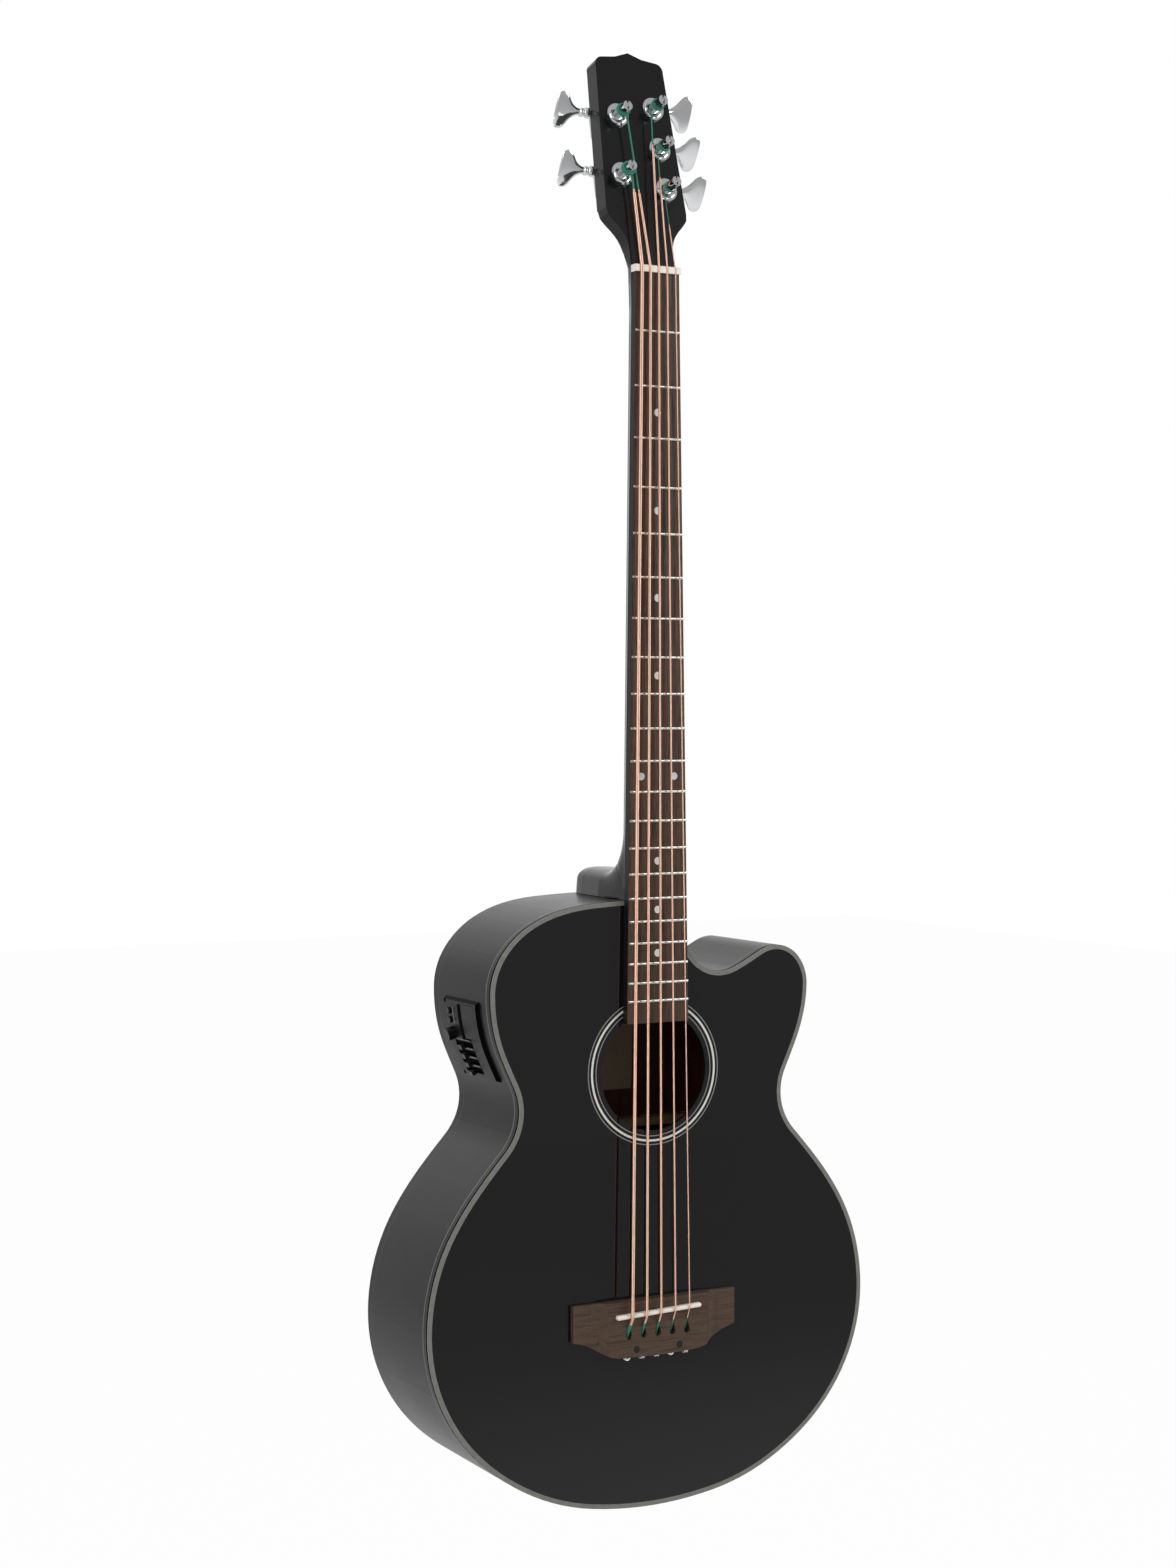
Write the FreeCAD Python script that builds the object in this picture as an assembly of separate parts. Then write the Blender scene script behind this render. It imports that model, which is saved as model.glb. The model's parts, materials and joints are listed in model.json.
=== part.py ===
import FreeCAD, Part
import math
import os

# Five string acoustic bass guitar with a cutaway, in millimetres.
# The neck points along +Z and the treble side along +X; the soundboard faces -Y.
# The origin is the seat of the end jack, in the middle of the tail.
# Most shapes are written with a depth: the distance behind the front of the soundboard.

V = FreeCAD.Vector
OVER = 30.0                    # overrun of every cut
SLIP = 0.05                    # clearance of a shaft in its bore
LOOSE = 0.3                    # clearance of soft, curved or sliding faces

# Body
BODY_LENGTH = 512.6
HALF_WIDTH = 209.7
JACK_DEPTH = 62.0              # end jack behind the front of the soundboard
TAIL_DEPTH = 132.9             # body depth on the centre line at the tail
DEPTH_FALL = 24.0              # how much shallower the body is at the neck
BACK_RADIUS = 4500.0           # arch of the back across its width
TOP_THICK = 3.0
BACK_THICK = 2.8
SIDE_THICK = 2.4
PURFLING_WIDE = 3.9
PURFLING_THICK = 1.0
BINDING_DEEP = 8.5
LINE_WIDE = 1.0                # thin light line between binding and side

# Outline, tail to neck: x over HALF_WIDTH, z over BODY_LENGTH, heading in degrees
LOWER_BOUT_SHARES = [
    (0.0, 0.0, 0.0),
    (0.546, 0.046, 27.0),
    (0.832, 0.137, 50.0),
    (1.0, 0.320, 89.5),
    (0.890, 0.486, 121.0),
    (0.668, 0.601, 133.0),
    (0.603, 0.660, 94.0),
    (0.675, 0.751, 66.0),
]
BASS_BOUT_SHARES = [
    (0.727, 0.854, 90.0),
    (0.551, 0.9655, 151.0),
    (0.278, 0.9957, 176.0),
    (0.0, 1.0, 180.0),
]
CUTAWAY_SHARES = [
    (0.730, 0.845, 88.0),
    (0.570, 0.915, 183.0),
    (0.446, 0.8945, 208.0),
    (0.303, 0.876, 177.0),
    (0.169, 0.908, 125.0),
    (0.141, 0.956, 90.0),
]

# Soundhole and rosette
HOLE_Z = 368.1
HOLE_RADIUS = 50.5
RING_RADII = [62.5, 59.0, 55.2]
RING_WIDTHS = [0.9, 2.2, 0.9]
RING_THICK = 0.8

# Inner framing
LINING_WIDE = 6.0
LINING_DEEP = 11.0
NECK_BLOCK_HALF = 36.0
NECK_BLOCK_LONG = 58.0
TAIL_BLOCK_HALF = 34.0
TAIL_BLOCK_LONG = 20.0
BRACE_WIDE = 7.5
BRACE_DEEP = 14.0
BRIDGE_PLATE_HALF = 82.0
BRIDGE_PLATE_TALL = 44.0
BRIDGE_PLATE_THICK = 2.6
LABEL_WIDE = 84.0
LABEL_TALL = 64.0
LABEL_THICK = 0.4

# Scale and neck
SCALE = 864.0
SADDLE_Z = 170.9               # theoretical string end
FRETS = 21
NUT_HALF = 21.2
NUT_LONG = 6.0
NUT_TALL = 9.4
BOARD_HALF_NUT = 20.8
BOARD_HALF_LAST = 29.3         # half width at the last fret
BOARD_THICK = 7.0
BOARD_TAIL = 18.5              # board beyond the last fret
FRET_WIDE = 2.4
FRET_TALL = 1.1
FRET_INSET = 0.2
TANG_WIDE = 0.6
TANG_DEEP = 1.8
DOT_RADIUS = 3.2
DOT_THICK = 1.5
DOT_SPREAD = 15.8
SINGLE_DOTS = (3, 5, 7, 9, 15, 17, 19)
DOUBLE_DOT = 12
NECK_DEEP = 14.5
NECK_ROUND = 12.0              # height of the rounded back of the neck
ROD_WIDE = 6.0
ROD_DEEP = 9.0

# Heel
HEEL_SWEEP = 38.0              # concave sweep from neck to heel
HEEL_TALL = 23.1
HEEL_BACK = 105.0
HEEL_HALF_SWEEP = 25.0
HEEL_HALF_END = 20.0
HEEL_CAP_THICK = 1.6
BOLT_RADIUS = 3.0
BOLT_HEAD = 5.5
BOLT_HEAD_TALL = 5.0
BOLT_DEPTHS = (45.0, 80.0)
BOLT_BITE = 14.0

# Headstock
HEAD_TILT = 13.2
HEAD_LONG = 192.3
HEAD_THICK = 16.0
HEAD_HALF = 39.0               # half width at the lower corners
HEAD_SIDE_SHARES = [           # s over HEAD_LONG, half width over HEAD_HALF
    (0.0, 0.543),
    (0.055, 0.541),
    (0.100, 0.552),
    (0.135, 0.607),
    (0.168, 0.712),
    (0.203, 0.870),
    (0.232, 0.975),
    (0.262, 0.990),
]
FLARE_SHARES = [               # rounding behind the flare: s, half width, dome over thickness
    (0.0, 0.543, 0.80),
    (0.07, 0.60, 0.72),
    (0.14, 0.78, 0.60),
    (0.21, 1.05, 0.45),
    (0.27, 1.25, 0.30),
]
HEAD_TOP_SHARES = [
    (0.925, 0.836),
    (0.957, 0.800),
    (0.967, 0.690),
    (0.976, 0.330),
]

# Tuners: post offset from the headstock edge, places along the headstock
POST_INSET = 16.8
BASS_POST_S = (80.2, 133.4)
TREBLE_POST_S = (142.7, 106.3, 70.1)
POST_RADIUS = 4.3
POST_TALL = 20.0
BUSHING_RADIUS = 10.0
BUSHING_FLANGE = 2.2
BUSHING_STEP_RADIUS = 7.2
BUSHING_TALL = 4.6
SLEEVE_RADIUS = 6.2
SLEEVE_LONG = 11.0
HOUSING_LONG = 34.0
HOUSING_WIDE = 24.0
HOUSING_THICK = 12.0
CASE_SCREW = 2.2
WORM_RISE = 11.0               # key shaft above the post
KEY_SHAFT_RADIUS = 3.0
KEY_OUT = 27.7                 # outer edge of the key beyond the headstock
KEY_SPAN = 31.4
KEY_LONG = 19.0
KEY_THICK = 8.0
KEY_TURNS = (40.0, 40.0, 31.5, 47.6, 44.0)    # upper lobe towards the front
COLLAR_RADIUS = 4.6
COLLAR_LONG = 3.4

# Strings, thickest first
STRING_RADII = [1.5, 1.2, 1.0, 0.8, 0.55]
SILK_SHARE = 0.62              # silk wrapped end over string radius
SILK_START = (66.0, 66.0, 109.0, 80.0, 38.0)  # start of the thin end beyond the nut
SADDLE_PITCH = 13.9
NUT_PITCH = 8.1
SLOT_PITCH = 14.0
BALL_RADIUS = 3.0
BALL_THICK = 3.4
TURNED_BALLS = (0, 3)          # ball ends that lie face on
STRING_TOP_SADDLE = 13.8       # underside of the strings above the soundboard
STRING_TOP_NUT = 8.4
WIND_TURNS = 2.0
WIND_GAP = 0.5
WIND_SIDES = 6
POINTS_A_TURN = 40
BALL_GRIP_SHARE = 0.7
BALL_WAIST_SHARE = 0.75
BALL_FLANGE_SHARE = 0.2
BALL_BORE_SHARE = 1.25         # bore in the bridge over the ball's radius

# Bridge
BRIDGE_HALF = 78.0
BRIDGE_TOP_Z = 177.6
BRIDGE_DROP = 47.8             # top edge to the bottom of the belly
BRIDGE_X = -1.3                # the bridge sits a little to the bass side
BRIDGE_TALL = 9.8
WING_TALL = 4.6
BLOCK_HALF = 48.0
BRIDGE_BELLY_SHARES = [        # x over BRIDGE_HALF, drop over BRIDGE_DROP
    (1.0, 0.645),
    (0.87, 0.70),
    (0.72, 0.82),
    (0.57, 0.945),
    (0.38, 0.985),
    (0.0, 1.0),
]
SADDLE_LONG = 81.4
SADDLE_WIDE = 4.0
SADDLE_MID_Z = 166.8
SADDLE_SLANT = 2.3             # degrees
SADDLE_FOOT = 4.8
PICKUP_THICK = 1.2
POCKET_RADIUS = 3.0            # teardrop pocket behind each string hole
POCKET_TALL = 11.0
CAP_RADIUS = 3.0
CAP_THICK = 1.0
CAP_X = 20.8
CAP_Z = 136.6
BRIDGE_BOLT_RADIUS = 2.0
BRIDGE_BOLT_HEAD = 2.8

# Preamp in the bass side
PANEL_FRONT = 22.0
PANEL_BACK = 86.0
PANEL_LOW = 364.0
PANEL_HIGH = 431.6
PANEL_THICK = 3.0
PANEL_BEVEL = 2.4
FLANGE = 4.0
HOUSE_DEEP = 56.0
SLIDER_Z = (392.9, 385.6, 378.3, 371.0)
SLOT_MID = 59.0
SLOT_LONG = 31.0
SLOT_WIDE = 3.2
SLIDER_CAP = (6.0, 4.0, 4.4)
SLIDER_STEM = (4.0, 2.4)
SLIDER_SUNK = 5.0
CAP_LIFT = 0.4
KNOB_Z = 402.2
KNOB_DEPTH = 74.0
KNOB_RADIUS = 5.6
KNOB_TALL = 7.0
KNOB_SHAFT = 2.5
BUTTON_Z = (420.4, 413.0)
BUTTON_DEPTH = 74.0
BUTTON_RADIUS = 2.7
BUTTON_TALL = 2.4
BUTTON_TRAVEL = 1.2
DOOR_FRONT = 28.5
DOOR_BACK = 52.5
DOOR_LOW = 398.5
DOOR_HIGH = 427.0
TRAY_LONG = 50.5
TRAY_WALL = 1.2
SCREW_RADIUS = 1.7

# End jack and strap button
JACK_BORE = 3.25
JACK_BODY = 5.6
JACK_FLANGE = 9.0
JACK_FLANGE_TALL = 3.0
JACK_NECK = 6.5
JACK_LONG = 38.0
JACK_OUT = 12.0
STRAP_HEAD = 7.5
STRAP_NECK = 4.0
STRAP_TALL = 13.0
STRAP_FLANGE = 3.0
STRAP_SCREW = 2.2
STRAP_SHARE = 0.4              # place on the heel, over its straight part and over its height


def at(x, depth, z):
    """A point given by its depth behind the soundboard's front."""
    return V(x, depth - JACK_DEPTH, z)


def fret_z(n):
    return SADDLE_Z + SCALE * 2.0 ** (-n / 12.0)


NUT_Z = fret_z(0)
LAST_FRET_Z = fret_z(FRETS)
BOARD_END_Z = LAST_FRET_Z - BOARD_TAIL
BOARD_FLARE = (BOARD_HALF_LAST - BOARD_HALF_NUT) / (NUT_Z - LAST_FRET_Z)
STEP = DEPTH_FALL / BODY_LENGTH


def board_half(z):
    return BOARD_HALF_NUT + BOARD_FLARE * (NUT_Z - z)


def box(x0, x1, d0, d1, z0, z1):
    return Part.makeBox(x1 - x0, d1 - d0, z1 - z0, at(x0, d0, z0))


def turn_left(heading):
    return (-math.sin(heading), math.cos(heading))


def biarc(start, end):
    """Two tangent arcs between two (x, z, heading) knots, as (point, heading) triples."""
    t0 = (math.cos(start[2]), math.sin(start[2]))
    t1 = (math.cos(end[2]), math.sin(end[2]))
    v = (end[0] - start[0], end[1] - start[1])
    t = (t0[0] + t1[0], t0[1] + t1[1])
    a = 2.0 * (1.0 - t0[0] * t1[0] - t0[1] * t1[1])
    b = 2.0 * (v[0] * t[0] + v[1] * t[1])
    c = v[0] ** 2 + v[1] ** 2
    if a < 1e-9:
        d = c / b
    else:
        d = (math.sqrt(b * b + 4.0 * a * c) - b) / (2.0 * a)
    joint = (
        0.5 * (start[0] + end[0] + d * (t0[0] - t1[0])),
        0.5 * (start[1] + end[1] + d * (t0[1] - t1[1])),
    )
    first = math.atan2(joint[1] - start[1], joint[0] - start[0])
    joint_heading = 2.0 * first - start[2]
    middle = (joint[0], joint[1], joint_heading)
    return [(start, middle), (middle, end)]


def knots(shares, sign):
    """Shares as (x, z, heading) with headings that grow with the path."""
    result = []
    for x, z, heading in shares:
        result.append((sign * x * HALF_WIDTH, z * BODY_LENGTH, math.radians(sign * heading)))
    return result


def outline_arcs():
    """The body's edge from the tail, round the treble side, the neck and the bass side."""
    treble = knots(LOWER_BOUT_SHARES + CUTAWAY_SHARES, 1)
    bass = knots(LOWER_BOUT_SHARES + BASS_BOUT_SHARES, -1)
    bass.reverse()
    arcs = []
    for start, end in zip(treble[:-1], treble[1:]):
        arcs += biarc(start, end)
    top = len(arcs)
    for start, end in zip(bass[:-1], bass[1:]):
        arcs += biarc(start, end)
    return arcs, top


ARCS, NECK_CORNER = outline_arcs()


def shifted(knot, inset):
    nx, nz = turn_left(knot[2])
    return (knot[0] + inset * nx, knot[1] + inset * nz)


def arc_edge(start, end, inset, depth):
    """One arc of the outline, moved inwards."""
    p = shifted(start, inset)
    q = shifted(end, inset)
    turn = end[2] - start[2]
    while turn > math.pi:
        turn -= 2.0 * math.pi
    while turn < -math.pi:
        turn += 2.0 * math.pi
    chord = math.hypot(q[0] - p[0], q[1] - p[1])
    if abs(turn) < 1e-4:
        return Part.LineSegment(at(p[0], depth, p[1]), at(q[0], depth, q[1])).toShape()
    bulge = 0.5 * chord * math.tan(0.25 * turn)
    heading = math.atan2(q[1] - p[1], q[0] - p[0])
    nx, nz = turn_left(heading)
    mid = (0.5 * (p[0] + q[0]) - bulge * nx, 0.5 * (p[1] + q[1]) - bulge * nz)
    return Part.Arc(at(p[0], depth, p[1]), at(mid[0], depth, mid[1]), at(q[0], depth, q[1])).toShape()


def outline(inset, depth):
    """The closed edge of the body, inset from its outside."""
    edges = []
    for start, end in ARCS[:NECK_CORNER]:
        edges.append(arc_edge(start, end, inset, depth))
    last = shifted(ARCS[NECK_CORNER - 1][1], inset)
    top = BODY_LENGTH - inset
    corner = at(last[0], depth, top)
    edges.append(Part.LineSegment(at(last[0], depth, last[1]), corner).toShape())
    edges.append(Part.LineSegment(corner, at(0, depth, top)).toShape())
    for start, end in ARCS[NECK_CORNER:]:
        edges.append(arc_edge(start, end, inset, depth))
    return Part.Wire(edges)


def region(inset, d0, d1):
    """Everything inside the outline between two depths."""
    return Part.Face(outline(inset, d0)).extrude(V(0, d1 - d0, 0))


def rim(outer, inner, d0, d1):
    return region(outer, d0, d1).cut(region(inner, d0 - OVER, d1 + OVER))


def back_space(inset):
    """Everything in front of the back's outside, inset forwards: a slice of a wide cylinder."""
    half = HALF_WIDTH + OVER
    lean = math.hypot(1.0, STEP)
    foot = -BODY_LENGTH
    base = at(0, TAIL_DEPTH - STEP * foot - BACK_RADIUS * lean, foot)
    drum = Part.makeCylinder(BACK_RADIUS - inset, 3 * BODY_LENGTH, base, V(0, -STEP, 1))
    return drum.common(box(-half, half, -3 * OVER, FULL, -OVER, BODY_LENGTH + OVER))


FULL = TAIL_DEPTH + OVER
SHAPES = {}


def keep(name, shape):
    SHAPES[name] = shape
    return shape


def group(solids):
    return Part.makeCompound(solids)


def ring(outer, inner, d0, d1, x, z):
    disc = Part.makeCylinder(outer, d1 - d0, at(x, d0, z), V(0, 1, 0))
    hole = Part.makeCylinder(inner, d1 - d0 + 2 * OVER, at(x, d0 - OVER, z), V(0, 1, 0))
    return disc.cut(hole)


def make_top():
    """Soundboard with its hole, the rings round it, and the edge band."""
    top = region(PURFLING_WIDE, 0, TOP_THICK)
    top = top.fuse(region(SIDE_THICK, PURFLING_THICK, TOP_THICK)).removeSplitter()
    top = top.cut(Part.makeCylinder(HOLE_RADIUS, 2 * OVER, at(0, -OVER, HOLE_Z), V(0, 1, 0)))
    rings = []
    for radius, wide in zip(RING_RADII, RING_WIDTHS):
        inlay = ring(radius + wide / 2, radius - wide / 2, 0, RING_THICK, 0, HOLE_Z)
        top = top.cut(inlay)
        rings.append(inlay)
    for x in (BRIDGE_X - CAP_X, BRIDGE_X + CAP_X):
        top = top.cut(Part.makeCylinder(BRIDGE_BOLT_RADIUS + SLIP, 2 * OVER, at(x, -OVER, CAP_Z), V(0, 1, 0)))
    keep("soundboard", top)
    keep("rosette", group(rings))


def make_back():
    outer = back_space(0)
    inner = back_space(BACK_THICK)
    plate = region(SIDE_THICK, 0, FULL).common(outer).cut(inner)
    keep("back_plate", plate)
    edge = rim(0, SIDE_THICK, OVER, FULL).common(outer)
    binding_back = edge.cut(back_space(BINDING_DEEP))
    binding_front = rim(0, SIDE_THICK, PURFLING_THICK, BINDING_DEEP)
    keep("bindings", group([binding_front, binding_back]))
    cap_band = rim(0, PURFLING_WIDE, 0, PURFLING_THICK)
    line_back = edge.common(back_space(BINDING_DEEP)).cut(back_space(BINDING_DEEP + LINE_WIDE))
    line_front = rim(0, SIDE_THICK, BINDING_DEEP, BINDING_DEEP + LINE_WIDE)
    keep("purflings", group([cap_band, line_front, line_back]))


def side_at(z):
    """Where the bass side's outside lies at a height, and its outward normal."""
    for start, end in ARCS[NECK_CORNER:]:
        if start[1] >= z >= end[1]:
            low = arc_edge(start, end, 0, 0)
            line = Part.LineSegment(at(-2 * HALF_WIDTH, 0, z), at(0, 0, z)).toShape()
            near = low.distToShape(line)[1][0][0]
            along = low.tangentAt(low.Curve.parameter(near))
            normal = V(-abs(along.z), 0, along.x * (1 if along.z > 0 else -1))
            return near.x, normal.normalize()
    raise ValueError("no side at %s" % z)


def make_sides():
    first = BINDING_DEEP + LINE_WIDE
    wall = rim(0, SIDE_THICK, first, FULL).common(back_space(first))
    half = box(-2 * HALF_WIDTH, 0, -OVER, FULL, -OVER, BODY_LENGTH + OVER)
    opening = box(-HALF_WIDTH, 0, PANEL_FRONT + FLANGE, PANEL_BACK - FLANGE, PANEL_LOW + FLANGE, PANEL_HIGH - FLANGE)
    bore = Part.makeCylinder(JACK_BODY + SLIP, 2 * OVER, at(0, JACK_DEPTH, -OVER), V(0, 0, 1))
    wall = wall.cut(bore)
    for depth in BOLT_DEPTHS:
        hole = Part.makeCylinder(BOLT_RADIUS + SLIP, 2 * OVER, at(0, depth, BODY_LENGTH - OVER), V(0, 0, 1))
        wall = wall.cut(hole)
    keep("side_bass", wall.common(half).cut(opening))
    keep("side_treble", wall.cut(half))


def make_blocks():
    space = back_space(BACK_THICK)
    fill = region(SIDE_THICK, TOP_THICK, FULL).common(space)
    low = BODY_LENGTH - NECK_BLOCK_LONG
    neck = fill.common(box(-NECK_BLOCK_HALF, NECK_BLOCK_HALF, 0, FULL, low, BODY_LENGTH))
    for depth in BOLT_DEPTHS:
        neck = neck.cut(Part.makeCylinder(BOLT_RADIUS + SLIP, 4 * OVER, at(0, depth, low - OVER), V(0, 0, 1)))
    keep("neck_block", neck)
    tail = fill.common(box(-TAIL_BLOCK_HALF, TAIL_BLOCK_HALF, 0, FULL, 0, SIDE_THICK + TAIL_BLOCK_LONG))
    tail = tail.cut(Part.makeCylinder(JACK_BODY + SLIP, 4 * OVER, at(0, JACK_DEPTH, -OVER), V(0, 0, 1)))
    keep("tail_block", tail)


def make_linings():
    blocks = SHAPES["neck_block"].fuse(SHAPES["tail_block"])
    inner = SIDE_THICK + LINING_WIDE
    front = rim(SIDE_THICK, inner, TOP_THICK, TOP_THICK + LINING_DEEP)
    back = rim(SIDE_THICK, inner, OVER, FULL).common(back_space(BACK_THICK))
    back = back.cut(back_space(BACK_THICK + LINING_DEEP))
    keep("linings", group([front.cut(blocks), back.cut(blocks)]))


def bar(x0, z0, x1, z1, deep):
    """A straight brace glued under the soundboard, with its ends on the linings."""
    long = math.hypot(x1 - x0, z1 - z0)
    angle = math.degrees(math.atan2(z1 - z0, x1 - x0))
    solid = Part.makeBox(long, deep, BRACE_WIDE, V(0, 0, -BRACE_WIDE / 2))
    solid.rotate(V(0, 0, 0), V(0, -1, 0), angle)
    solid.translate(at(x0, TOP_THICK, z0))
    return solid


# Brace ends: x over HALF_WIDTH, z over BODY_LENGTH
X_BRACE_SHARES = ((-0.62, 0.80), (0.72, 0.24))
TRANSVERSE_SHARE = 0.855
TONE_BAR_SHARES = (((-0.10, 0.20), (0.62, 0.10)), ((-0.42, 0.10), (0.42, 0.045)))
BACK_BRACE_SHARES = (0.16, 0.36, 0.60, 0.83)


def make_braces():
    inside = region(SIDE_THICK + LINING_WIDE + LOOSE, -OVER, FULL)
    (xa, za), (xb, zb) = X_BRACE_SHARES
    ends = [(xa * HALF_WIDTH, za * BODY_LENGTH), (xb * HALF_WIDTH, zb * BODY_LENGTH)]
    first = bar(ends[0][0], ends[0][1], ends[1][0], ends[1][1], BRACE_DEEP)
    second = bar(-ends[0][0], ends[0][1], -ends[1][0], ends[1][1], BRACE_DEEP)
    lap_low = box(-HALF_WIDTH, HALF_WIDTH, TOP_THICK + BRACE_DEEP / 2, FULL, 0, BODY_LENGTH)
    lap_high = box(-HALF_WIDTH, HALF_WIDTH, 0, TOP_THICK + BRACE_DEEP / 2, 0, BODY_LENGTH)
    one = first.cut(second.common(lap_low))
    two = second.cut(first.common(lap_high))
    across_z = TRANSVERSE_SHARE * BODY_LENGTH
    across = bar(-HALF_WIDTH, across_z, HALF_WIDTH, across_z, BRACE_DEEP)
    braces = [across.common(inside)]
    for solid in (one, two):
        braces.append(solid.common(inside).cut(across))
    used = one.fuse(two)
    for (x0, z0), (x1, z1) in TONE_BAR_SHARES:
        tone = bar(x0 * HALF_WIDTH, z0 * BODY_LENGTH, x1 * HALF_WIDTH, z1 * BODY_LENGTH, BRACE_DEEP - 2 * TOP_THICK)
        tone = tone.common(inside).cut(used).cut(SHAPES["tail_block"])
        braces += [max(tone.Solids, key=lambda s: s.Volume)]
    keep("top_braces", group(braces))
    plate_mid = SADDLE_Z - BRIDGE_DROP / 2
    plate = box(BRIDGE_X - BRIDGE_PLATE_HALF, BRIDGE_X + BRIDGE_PLATE_HALF, TOP_THICK, TOP_THICK + BRIDGE_PLATE_THICK,
                plate_mid - BRIDGE_PLATE_TALL / 2, plate_mid + BRIDGE_PLATE_TALL / 2)
    plate = plate.cut(group(braces))
    for x in (BRIDGE_X - CAP_X, BRIDGE_X + CAP_X):
        plate = plate.cut(Part.makeCylinder(BRIDGE_BOLT_RADIUS + SLIP, 2 * OVER, at(x, -OVER, CAP_Z), V(0, 1, 0)))
    keep("bridge_plate", plate)
    ladder = []
    shell = back_space(BACK_THICK).cut(back_space(BACK_THICK + BRACE_DEEP))
    for share in BACK_BRACE_SHARES:
        z = share * BODY_LENGTH
        slab = box(-HALF_WIDTH, HALF_WIDTH, 0, FULL, z - BRACE_WIDE / 2, z + BRACE_WIDE / 2)
        ladder.append(shell.common(slab).common(inside))
    keep("back_braces", group(ladder))
    paper = back_space(BACK_THICK).cut(back_space(BACK_THICK + LABEL_THICK))
    low = HOLE_Z - LABEL_TALL / 2
    keep("paper_label", paper.common(box(-LABEL_WIDE / 2, LABEL_WIDE / 2, 0, FULL, low, low + LABEL_TALL)))


def section(origin, up, half_base, half_top, deep, dome):
    """Closed section of the neck: a flat front and a rounded back, in the plane of X and up."""
    points = [(half_base, 0.0)]
    leg = deep - dome
    points.append((half_top + (half_base - half_top) * 0.4, leg * 0.6))
    for step in range(0, 5):
        angle = math.radians(90.0 * step / 4)
        points.append((half_top * math.cos(angle) ** 0.85, leg + dome * math.sin(angle) ** 0.85))
    points[-1] = (0.0, deep)
    mirrored = [(-x, h) for x, h in reversed(points[:-1])]
    path = [origin + V(x, 0, 0) + up * h for x, h in points + mirrored]
    curve = Part.BSplineCurve()
    curve.interpolate(path)
    front = Part.LineSegment(path[-1], path[0]).toShape()
    return Part.Wire([curve.toShape(), front])


def head_frame(x, s, h):
    """A point on the tilted headstock: x, along it from the nut, and height over its face."""
    tilt = math.radians(HEAD_TILT)
    return at(x, s * math.sin(tilt) - h * math.cos(tilt), NUT_Z + NUT_LONG + s * math.cos(tilt) + h * math.sin(tilt))


HEAD_UP = head_frame(0, 0, 1) - head_frame(0, 0, 0)
HEAD_ALONG = head_frame(0, 1, 0) - head_frame(0, 0, 0)


def head_half(s):
    """Half width of the straight part of the headstock."""
    low = HEAD_SIDE_SHARES[-1]
    high = HEAD_TOP_SHARES[0]
    share = (s / HEAD_LONG - low[0]) / (high[0] - low[0])
    return HEAD_HALF * (low[1] + share * (high[1] - low[1]))


def make_headstock():
    flare = [head_frame(w * HEAD_HALF, s * HEAD_LONG, 0) for s, w in HEAD_SIDE_SHARES]
    crown = [head_frame(w * HEAD_HALF, s * HEAD_LONG, 0) for s, w in HEAD_TOP_SHARES]
    peak = head_frame(0, HEAD_LONG, 0)

    def mirror(p):
        return V(-p.x, p.y, p.z)

    side = Part.BSplineCurve()
    side.interpolate(flare[:-1])
    right = [side.toShape(), Part.LineSegment(flare[-2], flare[-1]).toShape()]
    right.append(Part.LineSegment(flare[-1], crown[0]).toShape())
    right.append(Part.Arc(crown[0], crown[0] + (crown[2] - crown[0]) * 0.5 + (crown[1] - (crown[0] + crown[2]) * 0.5) * 0.8, crown[2]).toShape())
    right.append(Part.LineSegment(crown[2], crown[3]).toShape())
    right.append(Part.LineSegment(crown[3], peak).toShape())
    left = [edge.mirror(V(0, 0, 0), V(1, 0, 0)) for edge in right]
    base = Part.LineSegment(mirror(flare[0]), flare[0]).toShape()
    wire = Part.Wire(Part.__sortEdges__(right + left + [base]))
    head = Part.Face(wire).extrude(HEAD_UP * -HEAD_THICK)
    reach = HEAD_LONG * FLARE_SHARES[-1][0]
    wires = []
    for s, half, dome in FLARE_SHARES:
        half = half * HEAD_HALF
        wires.append(section(head_frame(0, s * HEAD_LONG, 0), HEAD_UP * -1, half, half - LOOSE, HEAD_THICK, dome * HEAD_THICK))
    rounded = head.common(Part.makeLoft(wires, True, True))
    slab = head_box(0, reach / 2, -2 * HEAD_THICK, 4 * HEAD_HALF, reach, 3 * HEAD_THICK)
    return rounded.fuse(head.cut(slab)).removeSplitter()


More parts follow.
